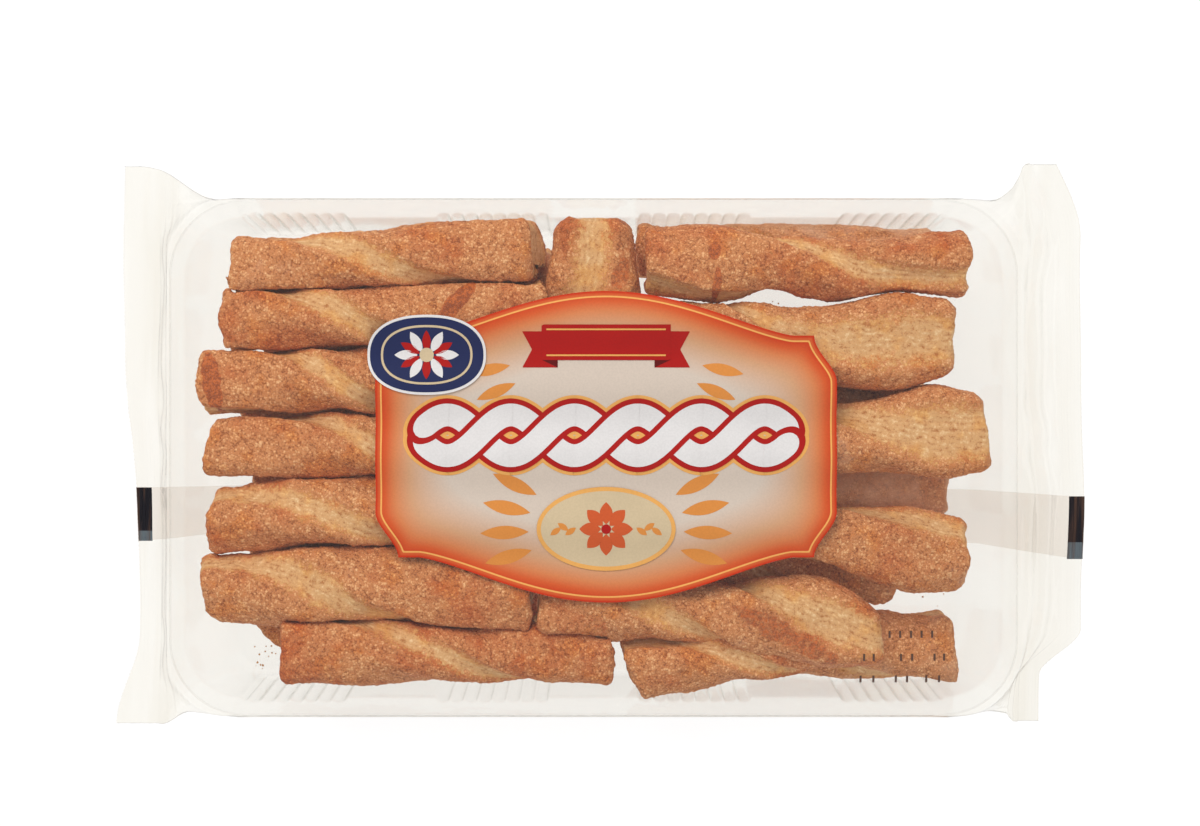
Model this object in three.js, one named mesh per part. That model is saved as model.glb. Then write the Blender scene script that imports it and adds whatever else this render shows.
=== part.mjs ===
// A sealed clear pack of puff pastry twists, lying on its back with the printed side up.
// Clear film is wrapped round a clear tray, pulled tight over the tray's rim and over the twists that
// stand a little above it, and closed at both ends by a flat crimped seal at half height.
// The pack is shut, so it is one solid out to the film. Millimetres, +X along the pack, +Y towards the
// top of the printed side, +Z up. The origin is under the middle of the pack, on the surface it lies on.
//
// The film is worked out on a grid of places and shares. A place runs along the pack: 0 at the tray's
// middle, 1 at its rim, 2 where the film becomes the flat seal and 3 at the seal's free edge, negative
// towards the left end. A share runs across it: 0 at the tray's middle, 1 and -1 at the film's sides.
// A distance is measured along the pack from the tray's middle.

import * as THREE from "three";
import { LoftGeometry } from "three/addons/geometries/LoftGeometry.js";

// The pack as a whole.
const packLength = 312;
const packWidth = 180;

// The tray inside. It sits a little off the pack's middle, so the film is slacker at the right end.
const trayLength = 266;
const trayWidth = 162;
const trayCorner = 21;
const rimHeight = 38;
const trayMiddle = new THREE.Vector2(-2, -4);
const baseInset = { ends: 14, sides: 9 };

// The film over the twists: a low crown over the whole heap, and a slight swelling over each twist.
const crownHeight = 3.4;
const twistSwelling = 0.7;
const twistPitch = 21.5;
const crownSquareness = 4;

// The crimped end seals. The left one flares out at both ends, and the right one's corners curl back.
const sealHeight = 19;
const sealThickness = 1.2;
const sealDepth = 7;
const sealWave = 1.9;
const leftSealStart = -142.5;
const rightSealStart = 149.5;
const leftFlare = 5;
const cornerCurl = { depth: 13.5, far: [66, 106], near: [60, 75] };

// The film's ears past the tray's corners: the distances from the tray's middle over which they grow to
// their full width, at the corners on the far side (+Y) and the near side, and how far from their edge
// they slope down underneath.
const earSpans = {
  left: { far: [117, 146], near: [128, 139] },
  right: { far: [125, 145], near: [124, 145] },
};
const earRun = 24;

// Folds that the film throws between the rim and the end seals.
const foldDepth = 1.4;
const foldPitch = 26;

// How finely the film is faceted, and the places of the sections along it.
const columns = 38;
const creaseRounding = 3;
const sectionCounts = { tray: 30, nearRim: 4, slope: 5, seal: 2 };
const nearRim = 0.87;

const { lerp, smoothstep, clamp } = THREE.MathUtils;
const endOf = (place) => (place < 0 ? -1 : 1);
const sideOf = (y) => (y < trayMiddle.y ? -1 : 1);
const distanceTo = (x) => Math.abs(x - trayMiddle.x);

// The larger of two heights, with the crease between them rounded off.
function roundedMax(a, b) {
  const nearness = Math.max(creaseRounding - Math.abs(a - b), 0) / creaseRounding;
  return Math.max(a, b) + (nearness ** 2 * creaseRounding) / 4;
}

// The distances at which the seal of one end starts, and at which its free edge lies, at one y.
function sealReach(end, y) {
  if (end < 0) {
    const start = distanceTo(leftSealStart);
    const flare = leftFlare * smoothstep(y, -40, 60);
    const corner = (distanceTo(-packLength / 2) - start - sealDepth) * smoothstep(-y, 62, packWidth / 2);
    return { start, edge: start + sealDepth + flare + corner };
  }
  const curl = cornerCurl.depth * (smoothstep(y, ...cornerCurl.far) + smoothstep(-y, ...cornerCurl.near));
  return { start: distanceTo(rightSealStart) - curl, edge: distanceTo(packLength / 2) - curl };
}

// The distance of a place at one y.
function distanceOf(place, y) {
  const seal = sealReach(endOf(place), y);
  const stops = [0, trayLength / 2, seal.start, seal.edge];
  const step = Math.min(Math.floor(Math.abs(place)), 2);
  return lerp(stops[step], stops[step + 1], Math.abs(place) - step);
}

// How wide the ear on one side has grown at a place, from 0 to 1.
function earAt(place, side) {
  const spans = place < 0 ? earSpans.left : earSpans.right;
  return smoothstep(distanceOf(place, 0), ...(side < 0 ? spans.near : spans.far));
}

// The film's side at a place: the tray's side, widening to the pack's full width past the tray's corners.
function sideEdge(place, side) {
  return lerp(trayMiddle.y + (side * trayWidth) / 2, (side * packWidth) / 2, earAt(place, side));
}

// The distance at which the rim ends at one y, rounded off at the tray's corners.
function rimEnd(y) {
  const intoCorner = clamp(1 - (trayWidth / 2 - Math.abs(y - trayMiddle.y)) / trayCorner, 0, 1);
  return trayLength / 2 - trayCorner * (1 - Math.sqrt(1 - intoCorner ** 2));
}

// How far the film has come down from the rim, 0, to the start of the seal, 1.
function descent(end, distance, y) {
  const rim = rimEnd(y);
  return clamp((distance - rim) / (sealReach(end, y).start - rim), 0, 1);
}

// Height of the film without its crown: level over the tray, sloping to the seal, where it waves.
function edgeHeight(end, distance, y) {
  const down = descent(end, distance, y);
  const turn = (2 * Math.PI * y) / packWidth;
  const phase = end < 0 ? 0.6 : 2.4;
  const wave = Math.sin(1.5 * turn + phase) + 0.45 * Math.sin(3.5 * turn - phase);
  return lerp(rimHeight, sealHeight, down) + sealWave * wave * down;
}

// Folds between rim and seal, deepest half way.
function folds(end, distance, y) {
  const turn = (2 * Math.PI * y) / foldPitch;
  const depth = foldDepth * Math.sin(Math.PI * descent(end, distance, y));
  return depth * Math.sin(turn + 1.3 * Math.sin(turn / 2.7));
}

// How far inside the rim a point is, 1 in the middle and 0 at the rim, squared off like the tray.
function insideRim(distance, y) {
  const along = Math.min((2 * distance) / trayLength, 1);
  const across = Math.min((2 * Math.abs(y - trayMiddle.y)) / trayWidth, 1);
  return (1 - along ** crownSquareness) * (1 - across ** crownSquareness);
}

// The film on top: the edge's height, the crown over the twists, and the folds.
function filmTop(end, distance, y) {
  const swelling = twistSwelling * Math.cos((2 * Math.PI * (y - trayMiddle.y)) / twistPitch);
  const crown = insideRim(distance, y) * (crownHeight + swelling);
  return edgeHeight(end, distance, y) + crown + folds(end, distance, y);
}

// The film underneath: down the tray's sides, flat under its base, and up past its ends to the seals.
function filmBottom(place, distance, y) {
  const end = endOf(place);
  const side = sideOf(y);
  const edge = sideEdge(place, side);
  const run = lerp(baseInset.sides, earRun, earAt(place, side));
  const wall = edgeHeight(end, distance, edge) * (1 - (side * (edge - y)) / run);
  const baseEnd = trayLength / 2 - baseInset.ends;
  const seal = sealReach(end, y).start;
  const climb = Math.min((distance - baseEnd) / (seal - baseEnd), 1);
  const slope = climb * edgeHeight(end, seal, y) - folds(end, distance, y);
  return roundedMax(roundedMax(wall, 0), slope);
}

// A point of the film. Top and bottom meet at the film's sides and at the seals' free edges.
function filmPoint(place, share, onTop) {
  const y = lerp(trayMiddle.y, sideEdge(place, share < 0 ? -1 : 1), Math.abs(share));
  const distance = distanceOf(place, y);
  const top = filmTop(endOf(place), distance, y);
  const atEdge = Math.abs(share) === 1 || Math.abs(place) === 3;
  const z = onTop || atEdge ? top : clamp(filmBottom(place, distance, y), 0, top - sealThickness);
  return new THREE.Vector3(trayMiddle.x + endOf(place) * distance, y, z);
}

// A section's ring of points, over the top from the far side to the near side and back underneath.
// The points crowd towards the sides, where the film turns down the walls.
function section(place) {
  const shareAt = (i) => (i === 0 ? 1 : i === columns ? -1 : Math.cos((Math.PI * i) / columns));
  const over = Array.from({ length: columns }, (_, i) => filmPoint(place, shareAt(i), true));
  const under = Array.from({ length: columns }, (_, i) => filmPoint(place, shareAt(columns - i), false));
  return [...over, ...under];
}

// The places of all sections, closer together near the rim and beyond it.
function sectionPlaces() {
  const spread = (from, to, count) => Array.from({ length: count }, (_, i) => lerp(from, to, (i + 1) / count));
  const right = [
    ...spread(0, nearRim, sectionCounts.tray / 2),
    ...spread(nearRim, 1, sectionCounts.nearRim),
    ...spread(1, 2, sectionCounts.slope),
    ...spread(2, 3, sectionCounts.seal),
  ];
  return [...right.map((place) => -place).reverse(), 0, ...right];
}

function sealedPack() {
  const geometry = new LoftGeometry(sectionPlaces().map(section));
  const material = new THREE.MeshStandardMaterial({ color: 0xd9b08c, roughness: 0.2, metalness: 0 });
  const mesh = new THREE.Mesh(geometry, material);
  mesh.name = "sealed_pack";
  return mesh;
}

const pack = new THREE.Group();
pack.add(sealedPack());

export default pack;
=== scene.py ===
"""A sealed clear pack of puff pastry twists, lying flat with its printed side up.

Two layers of sugared pastry twists lie on a clear ribbed tray, inside a tube of clear film that is
crimped shut at both ends. The film carries a printed plaque, a badge and dark registration marks.
Lengths are metres, and MM turns the millimetres of the tables into metres. +X runs along the pack,
+Y towards the top of the print and +Z up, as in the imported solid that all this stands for.
"""

import math
from typing import NamedTuple

import bmesh
import bpy
import numpy as np
from bpy.props import FloatProperty, FloatVectorProperty, IntProperty, PointerProperty
from bpy.types import Operator, Panel, PropertyGroup
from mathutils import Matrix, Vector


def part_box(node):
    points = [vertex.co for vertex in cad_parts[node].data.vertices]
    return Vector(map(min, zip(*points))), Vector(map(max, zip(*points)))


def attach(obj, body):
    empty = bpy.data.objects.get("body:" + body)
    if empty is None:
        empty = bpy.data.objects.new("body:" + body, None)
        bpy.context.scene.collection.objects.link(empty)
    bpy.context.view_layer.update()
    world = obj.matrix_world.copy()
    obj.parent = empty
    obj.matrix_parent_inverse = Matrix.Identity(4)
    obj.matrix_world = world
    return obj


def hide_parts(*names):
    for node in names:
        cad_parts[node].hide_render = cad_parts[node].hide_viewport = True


bl_info = {
    "name": "Pack of Pastry Twists",
    "version": (1, 0, 0),
    "blender": (4, 5, 0),
    "location": "View3D > Sidebar > Pastry Pack",
    "description": "Makes a clear sealed pack of puff pastry twists round its packed solid",
    "category": "Add Mesh",
}

MM = 0.001
PACK_NODE = "sealed_pack"
BODY = "root"

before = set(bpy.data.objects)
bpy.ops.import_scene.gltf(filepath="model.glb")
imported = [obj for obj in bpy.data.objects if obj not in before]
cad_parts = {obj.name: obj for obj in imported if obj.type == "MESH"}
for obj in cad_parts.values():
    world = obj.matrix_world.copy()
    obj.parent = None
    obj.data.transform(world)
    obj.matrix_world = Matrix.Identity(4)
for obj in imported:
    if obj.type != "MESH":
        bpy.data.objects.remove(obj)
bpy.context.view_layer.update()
PACK_LOW, PACK_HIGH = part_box(PACK_NODE)


# ---- Sizes and colours -------------------------------------------------------------------------


def length(name, description, millimetres):
    """A property that holds a length, given in millimetres and kept in metres."""
    return FloatProperty(name=name, description=description, default=millimetres * MM, unit="LENGTH")


def share(name, description, value):
    """A property that holds a plain number."""
    return FloatProperty(name=name, description=description, default=value)


def linear(red, green, blue):
    """Screen colour from 0 to 255, as the linear values that shaders take."""
    screen = np.array([red, green, blue]) / 255
    return tuple(np.where(screen <= 0.04045, screen / 12.92, ((screen + 0.055) / 1.055) ** 2.4))


def colour(name, description, red, green, blue):
    """A property that holds a colour, given as screen values from 0 to 255."""
    return FloatVectorProperty(
        name=name,
        description=description,
        subtype="COLOR",
        size=3,
        min=0,
        max=1,
        default=linear(red, green, blue),
    )


class TraySizes(PropertyGroup):
    """The clear tray."""

    middle_x: length("Middle, X", "Where the tray's middle is along the pack", -2)
    middle_y: length("Middle, Y", "Where the tray's middle is across the pack", -4)
    rim_length: length("Rim length", "Length of the film's rim line round the tray", 266)
    rim_width: length("Rim width", "Width of the film's rim line round the tray", 162)
    rim_height: length("Rim height", "Height of the rim line", 38)
    corner: length("Corner", "Corner radius of the tray's rim", 23.5)
    play: length("Play", "Gap between the tray's rim and the film", 0.5)
    wall: length("Wall", "Thickness of the plastic", 0.35)
    rib_depth: length("Rib depth", "How far each half-round rib stands out of a long wall", 1.4)
    rib_pitch: length("Rib pitch", "Distance from one rib to the next", 4.4)
    rib_group_pitch: length("Rib group pitch", "Distance from one group of ribs to the next", 63.3)
    ribs_in_group: IntProperty(name="Ribs in a group", description="Ribs side by side", default=8)


class FilmSizes(PropertyGroup):
    """The clear film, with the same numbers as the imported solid."""

    corner: length("Corner", "Corner radius of the film over the rim", 21)
    base_inset_ends: length("Base inset, ends", "From rim to base at the ends", 14)
    base_inset_sides: length("Base inset, sides", "From rim to base at the sides", 9)
    crown: length("Crown", "How far the film rises over the heap of twists", 3.4)
    swelling: length("Swelling", "Half the rise and fall of the film over each twist", 0.7)
    twist_pitch: length("Twist pitch", "Distance from one row of twists to the next", 21.5)
    seal_height: length("Seal height", "Height of the crimped end seals", 19)
    seal_depth: length("Seal depth", "Least depth of a seal, to its free edge", 7)
    seal_wave: length("Seal wave", "How far the seals wave up and down", 1.9)
    left_seal: length("Left seal", "X at which the left seal starts", -142.5)
    right_seal: length("Right seal", "X at which the right seal starts", 149.5)
    left_flare: length("Left flare", "How far the left seal's free edge flares out", 5)
    corner_curl: length("Corner curl", "How far the right seal's corners curl back", 13.5)
    ear_run: length("Ear run", "Width of the slope under an ear", 24)
    fold_depth: length("Fold depth", "Depth of the folds between rim and seal", 1.4)
    fold_pitch: length("Fold pitch", "Distance between those folds", 26)
    crease: length("Crease", "Rounding of the creases underneath", 3)
    crimp_pitch: length("Crimp pitch", "Distance from one crimp line to the next", 1.15)
    crimp_depth: length("Crimp depth", "Half the height of a crimp line", 0.12)
    tooth: length("Tooth", "Depth of the teeth of the cut edges", 0.6)
    slack: length("Slack", "Depth of the loose waves past the tray's rim", 0.9)
    crinkle: length("Crinkle", "Depth of the fine crinkles of the loose film", 0.4)


class TwistSizes(PropertyGroup):
    """The pastry twists."""

    lumps: length("Lumps", "How uneven the whole strip is", 1.1)
    grain: length("Grain", "Size of a sugar grain on the crust", 1.2)
    grain_height: length("Grain height", "How far the grains stand out", 0.55)
    blister: length("Blister", "How far the crust's blisters stand out", 0.5)
    lip: length("Lip", "How far the crust's edge stands over a bare side", 0.35)
    layer_pitch: length("Layer pitch", "Thickness of a flaky layer at a bare side", 1.5)
    layer_depth: length("Layer depth", "Depth of the grooves between layers", 0.35)
    squareness: share("Squareness", "Exponent of the strip's superellipse section", 3.0)


class PrintSizes(PropertyGroup):
    """The print on the film."""

    middle_x: length("Middle, X", "Where the plaque's middle is along the pack", 1.9)
    middle_y: length("Middle, Y", "Where the plaque's middle is across the pack", -0.5)
    half_length: length("Half length", "From the plaque's middle to its ends", 71.5)
    half_height: length("Half height", "From the middle to the top of the arch", 48.3)
    shoulder: length("Shoulder", "From the middle to the corners' height", 34.4)
    side: length("Side", "Half the straight part of each end", 20)
    notch: length("Notch", "Width of the scooped corners", 7)
    ink: length("Ink", "Step from one layer of print to the next", 0.05)
    lift: length("Lift", "Gap between film and print", 0.12)


class PackColours(PropertyGroup):
    """The colours of everything in the pack."""

    crust: colour("Crust", "Baked crust", 206, 134, 82)
    # Pale sugar grains; the palest, on the grains' tops, are painted highlights.
    crust_pale_and_painted_highlight: colour("Pale crust", "Sugar grains on the crust", 246, 194, 140)
    # The crust between the grains: its own darker tone, and painted shade in the hollows there.
    crust_deep_and_painted_shade: colour("Deep crust", "Between the grains", 148, 80, 38)
    golden: colour("Golden tint", "What golden patches leave of the crust's colour", 255, 232, 182)
    toasted: colour("Toasted tint", "What toasted patches leave of it", 232, 182, 142)
    # Pale patches of crust, and painted light: the lower layer is blended towards this colour to make up
    # for the shade of the upper one.
    dull_and_painted_light: colour("Dull crust", "What dull patches of crust blend towards", 222, 172, 140)
    bare: colour("Bare side", "Bare flaky sides", 219, 168, 114)
    bare_pale: colour("Pale layers", "Palest layers", 242, 208, 160)
    bare_deep: colour("Deep layers", "Between layers", 182, 116, 62)
    burnt: colour("Burnt sugar", "Grains of burnt sugar", 198, 102, 38)
    burnt_deep: colour("Deep burnt sugar", "Between those grains", 148, 68, 20)
    film: colour("Film", "What a sheet of film lets through", 253, 252, 249)
    film_haze: colour("Hazy film", "What it lets through in folds", 249, 247, 242)
    film_edge: colour("Film on edge", "What it lets through edge on", 222, 218, 214)
    tray: colour("Tray", "What the tray's plastic lets through", 254, 254, 254)
    tray_edge: colour("Tray on edge", "What it lets through edge on", 222, 217, 209)
    seam: colour("Seam", "What the back seam lets through", 244, 239, 235)
    ink_red: colour("Edge red", "Edge of the plaque", 198, 52, 18)
    ink_orange: colour("Orange", "Outer part of the plaque", 208, 90, 44)
    ink_peach: colour("Peach", "Where the orange fades", 210, 126, 78)
    ink_sand: colour("Sand", "Where the peach fades", 206, 156, 118)
    ink_pearl: colour("Pearl", "Middle of the plaque", 208, 192, 177)
    code: colour("Date", "The date's dashes", 95, 70, 60)
    gold: colour("Gold", "Thin lines", 236, 172, 92)
    amber: colour("Amber", "Bands and leaves", 222, 142, 66)
    ribbon: colour("Ribbon", "Ribbon and dark outlines", 176, 18, 14)
    ribbon_deep: colour("Deep ribbon", "Folds of the ribbon", 96, 8, 8)
    ivory: colour("Ivory", "Medallion", 212, 190, 154)
    white: colour("White", "White print", 230, 226, 224)
    navy: colour("Navy", "Badge", 34, 42, 84)
    black: colour("Black", "Registration marks", 20, 18, 26)
    streak: colour("Streaks", "Streaks in them", 92, 64, 48)
    grey: colour("Grey", "Their pale ends", 96, 106, 112)
    floor: colour("Floor", "The ground", 124, 124, 124)


class StageSizes(PropertyGroup):
    """Camera, light and ground."""

    camera_height: length("Camera height", "Height of the camera over the ground", 557.8)
    camera_y: length("Camera Y", "Where the camera is across the pack", 9.9)
    lens: share("Lens", "Focal length in millimetres", 50)
    ground: length("Ground", "Side of the square of ground", 6000)
    ground_glow: share("Ground glow", "Light that comes up through the ground", 0.87)
    key_power: share("Key power", "Watts of the large lamp over the pack's far side", 10)
    fill_power: share("Fill power", "Watts of the lamp over its near side", 1.5)
    zenith: share("Zenith", "Brightness of the surroundings overhead", 0.76)
    horizon: share("Horizon", "Brightness of the surroundings at the horizon", 0.4)


class PastryPack(PropertyGroup):
    """All sizes and colours."""

    tray: PointerProperty(type=TraySizes)
    film: PointerProperty(type=FilmSizes)
    twists: PointerProperty(type=TwistSizes)
    print: PointerProperty(type=PrintSizes)
    colours: PointerProperty(type=PackColours)
    stage: PointerProperty(type=StageSizes)


def settings():
    """The sizes and colours of this scene."""
    return bpy.context.scene.pastry_pack


# ---- Numbers -----------------------------------------------------------------------------------


def smooth(value, low, high):
    """0 below low, 1 above high, and 3t^2 - 2t^3 of the share t in between."""
    part = np.clip((value - low) / (high - low), 0, 1)
    return part * part * (3 - 2 * part)


def between(first, second, part):
    """The straight blend from first to second."""
    return first + (second - first) * part


def rounded_max(first, second, rounding):
    """The larger of two, plus a parabola's bulge where they differ by less than the rounding."""
    nearness = np.maximum(rounding - np.abs(first - second), 0) / rounding
    return np.maximum(first, second) + nearness**2 * rounding / 4


def rounded_min(first, second, rounding):
    """The smaller of two, rounded off in the same way."""
    return -rounded_max(-first, -second, rounding)


def profile(values, part):
    """A Catmull-Rom curve through values at even steps, read at a part of the way from 0 to 1."""
    padded = np.pad(np.array(values, float), 1, "edge")
    spot = part * (len(values) - 1)
    step = np.clip(spot.astype(int), 0, len(values) - 2)
    t = spot - step
    a, b, c, d = (padded[step + k] for k in range(4))
    return b + 0.5 * t * (c - a + t * (2 * a - 5 * b + 4 * c - d + t * (3 * (b - c) + d - a)))


def scatter(cells, seed):
    """A fixed random number from 0 to 1 for each whole-numbered cell, by mixing its bits."""
    parts = cells.astype(np.int64).astype(np.uint32)
    mixed = parts[..., 0] * np.uint32(73856093) ^ parts[..., 1] * np.uint32(19349663)
    mixed = mixed ^ parts[..., 2] * np.uint32(83492791) ^ np.uint32(seed * 2654435761 % 2**32)
    for factor in (2246822519, 3266489917):
        mixed = (mixed ^ (mixed >> np.uint32(15))) * np.uint32(factor)
    return (mixed ^ (mixed >> np.uint32(16))) / 2**32


def lattice_noise(points, size, seed):
    """Smooth noise from -1 to 1: random values at a lattice's corners, blended by 3t^2 - 2t^3."""
    cell = points / size
    base = np.floor(cell)
    part = smooth(cell - base, 0, 1)
    total = 0
    for corner in np.ndindex(2, 2, 2):
        weight = np.prod(np.where(np.array(corner) == 1, part, 1 - part), axis=-1)
        total = total + weight * scatter(base + corner, seed)
    return 2 * total - 1


def layered_noise(points, size, seed, octaves=3):
    """Lattice noise plus finer copies, each half the size and half the height of the last."""
    total = sum(lattice_noise(points, size / 2**k, seed + k) / 2**k for k in range(octaves))
    return total / (2 - 2 ** (1 - octaves))


def grain_field(points, size, seed):
    """Distance to the nearest of the grains strewn one to a cell, in cells, and its random number."""
    cell = points / size
    base = np.floor(cell)
    nearest = np.full(points.shape[:-1], 9.0)
    chosen = np.zeros(points.shape[:-1])
    for step in np.ndindex(3, 3, 3):
        corner = base + step - 1
        jitter = np.stack([scatter(corner, seed + k) for k in range(3)], axis=-1)
        gap = np.linalg.norm(cell - corner - jitter, axis=-1)
        chosen = np.where(gap < nearest, scatter(corner, seed + 3), chosen)
        nearest = np.minimum(nearest, gap)
    return nearest, chosen


# ---- Meshes ------------------------------------------------------------------------------------


def grid_faces(rows, columns, closed):
    """Corner numbers of the quads between rows of points. Closed rows join up round the piece."""
    row = np.arange(rows - 1)[:, None] * columns
    column = np.arange(columns if closed else columns - 1)[None, :]
    following = (column + 1) % columns
    corners = [row + column, row + following, row + columns + following, row + columns + column]
    return np.stack(np.broadcast_arrays(*corners), axis=-1).reshape(-1, 4)


def fan_faces(pole, ring):
    """Corner numbers of the triangles from a pole to a closed ring of points."""
    return np.stack([np.full(len(ring), pole), ring, np.roll(ring, -1)], axis=-1)


def make_mesh(name, points, face_sets, attributes=None):
    """A mesh of points and of face sets, each an array of corner numbers. Attributes are one number
    for each point, by name."""
    mesh = bpy.data.meshes.new(name)
    corners = np.concatenate([faces.ravel() for faces in face_sets]).astype(np.int32)
    counts = np.concatenate([np.full(len(faces), faces.shape[1]) for faces in face_sets])
    starts = np.concatenate([[0], np.cumsum(counts)[:-1]]).astype(np.int32)
    mesh.vertices.add(len(points))
    mesh.vertices.foreach_set("co", np.ascontiguousarray(points, np.float32).ravel())
    mesh.loops.add(len(corners))
    mesh.loops.foreach_set("vertex_index", corners)
    mesh.polygons.add(len(starts))
    mesh.polygons.foreach_set("loop_start", starts)
    mesh.update(calc_edges=True)
    mesh.validate()
    for key, values in (attributes or {}).items():
        layer = mesh.attributes.new(key, "FLOAT", "POINT")
        layer.data.foreach_set("value", np.ascontiguousarray(values, np.float32).ravel())
    mesh.shade_smooth()
    return mesh


def make_piece(name, mesh, material):
    """An object at the origin that shows the mesh, rides on the pack and has its finish in a slot."""
    piece = bpy.data.objects.new(name, mesh)
    bpy.context.scene.collection.objects.link(piece)
    mesh.materials.append(material)
    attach(piece, BODY)
    return piece


def close_mesh(mesh, distance=1e-6):
    """Joins points that coincide, and turns all faces outwards."""
    work = bmesh.new()
    work.from_mesh(mesh)
    bmesh.ops.remove_doubles(work, verts=work.verts, dist=distance)
    bmesh.ops.recalc_face_normals(work, faces=work.faces)
    work.to_mesh(mesh)
    work.free()
    return mesh


# ---- Materials ---------------------------------------------------------------------------------


def opaque(values):
    """A colour with its alpha."""
    return (*values, 1)


def node(tree, kind, values=None, **options):
    """A new node. Values are numbers, colours or other nodes' outputs, by socket name or number."""
    made = tree.nodes.new(kind)
    for key, value in options.items():
        setattr(made, key, value)
    for key, value in (values or {}).items():
        if isinstance(value, bpy.types.NodeSocket):
            tree.links.new(value, made.inputs[key])
        else:
            made.inputs[key].default_value = value
    return made


def new_material(name):
    """An empty node material and its output node."""
    material = bpy.data.materials.new(name)
    material.use_nodes = True
    material.node_tree.nodes.clear()
    output = material.node_tree.nodes.new("ShaderNodeOutputMaterial")
    return material, material.node_tree, output


def place_of(tree):
    """Object coordinates, which are metres from the pack's origin."""
    return node(tree, "ShaderNodeTexCoord").outputs["Object"]


def reading(tree, name):
    """A piece's own number, kept with its points."""
    return node(tree, "ShaderNodeAttribute", attribute_name=name).outputs["Fac"]


def noise(tree, size, detail=2, roughness=0.5):
    """Noise with features of that size, from 0 to 1."""
    values = {"Scale": 1 / size, "Detail": detail, "Roughness": roughness, "Vector": place_of(tree)}
    return node(tree, "ShaderNodeTexNoise", values).outputs["Fac"]


def crystals(tree, size):
    """Cells of that size: the distance to the cell's middle, and the cell's own random number."""
    cells = node(tree, "ShaderNodeTexVoronoi", {"Scale": 1 / size, "Vector": place_of(tree)})
    luck = node(tree, "ShaderNodeSeparateColor", {"Color": cells.outputs["Color"]})
    return cells.outputs["Distance"], luck.outputs["Red"]


def sums(tree, operation, first, second=0.0, third=0.0):
    """One step of arithmetic."""
    values = {0: first, 1: second, 2: third}
    return node(tree, "ShaderNodeMath", values, operation=operation).outputs[0]


def weighted(tree, *terms):
    """The sum of values times weights. A number on its own is added as it is."""
    total = 0.0
    for term in terms:
        if isinstance(term, tuple):
            total = sums(tree, "MULTIPLY_ADD", *term, total)
        else:
            total = sums(tree, "ADD", total, term)
    return total


def stretch(tree, value, low, high, start=0.0, end=1.0):
    """Value, stretched from low..high to start..end by a smoothstep and held there."""
    values = {"Value": value, "From Min": low, "From Max": high, "To Min": start, "To Max": end}
    return node(tree, "ShaderNodeMapRange", values, interpolation_type="SMOOTHSTEP").outputs["Result"]


def mixed(tree, factor, first, second, blend="MIX"):
    """A blend of two colours, or with MULTIPLY of the first and both's product."""
    made = node(tree, "ShaderNodeMix", data_type="RGBA", blend_type=blend)
    for socket, value in zip((0, 6, 7), (factor, first, second)):
        if isinstance(value, bpy.types.NodeSocket):
            tree.links.new(value, made.inputs[socket])
        elif socket == 0:
            made.inputs[socket].default_value = value
        else:
            made.inputs[socket].default_value = opaque(value)
    return made.outputs[2]


def ramp(tree, factor, stops):
    """A colour ramp through (position, colour) stops."""
    made = node(tree, "ShaderNodeValToRGB", {"Fac": factor})
    elements = made.color_ramp.elements
    for number, (position, value) in enumerate(stops):
        element = elements[number] if number < 2 else elements.new(position)
        element.position = position
        element.color = opaque(value)
    return made.outputs["Color"]


def crust_colour(tree, tone, toast):
    """Crust: sugar grains in their own tones, with painted shade between them and painted
    highlights on them, tinted by golden, pale and toasted patches.
    """
    colours = settings().colours
    # From painted shade between the grains, through the crust's own colour, to painted highlights on them.
    stops = [
        (0.12, colours.crust_deep_and_painted_shade),
        (0.42, colours.crust),
        (0.6, colours.crust),
        (0.92, colours.crust_pale_and_painted_highlight),
    ]
    patches = weighted(tree, (toast, 0.75), (noise(tree, 7 * MM, 3, 0.6), 0.7))
    golden = stretch(tree, noise(tree, 10 * MM, 3, 0.6), 0.5, 0.66, 0.0, 0.8)
    made = mixed(tree, golden, ramp(tree, tone, stops), colours.golden, "MULTIPLY")
    # Painted light as well as pale patches: little toasting, as on the lower layer, blends the crust
    # towards the pale colour.
    made = mixed(tree, stretch(tree, patches, 0.62, 0.2, 0.0, 0.7), made, colours.dull_and_painted_light)
    return mixed(tree, stretch(tree, patches, 0.72, 1.12), made, colours.toasted, "MULTIPLY")


def bare_colour(tree, layer, crust, specks):
    """Bare side: mottled, with faint wavering layers, more golden in patches and towards the crust."""
    colours = settings().colours
    lines = weighted(tree, (layer, 19.0), (noise(tree, 5 * MM, 3), 18.0))
    faint = sums(tree, "MULTIPLY", sums(tree, "SINE", lines), noise(tree, 9 * MM, 1))
    flaky = weighted(tree, (faint, 0.14), (noise(tree, 2 * MM, 4, 0.7), 1.3), (specks, 0.45), -0.37)
    stops = [
        (0.24, colours.bare_deep),
        (0.45, colours.bare),
        (0.56, colours.bare),
        (0.8, colours.bare_pale),
    ]
    amount = weighted(tree, (crust, 0.9), (stretch(tree, noise(tree, 8 * MM, 3), 0.48, 0.7), 0.6))
    golden = stretch(tree, amount, 0.0, 0.7, 0.0, 0.75)
    return mixed(tree, golden, ramp(tree, flaky, stops), colours.golden, "MULTIPLY")


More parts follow.
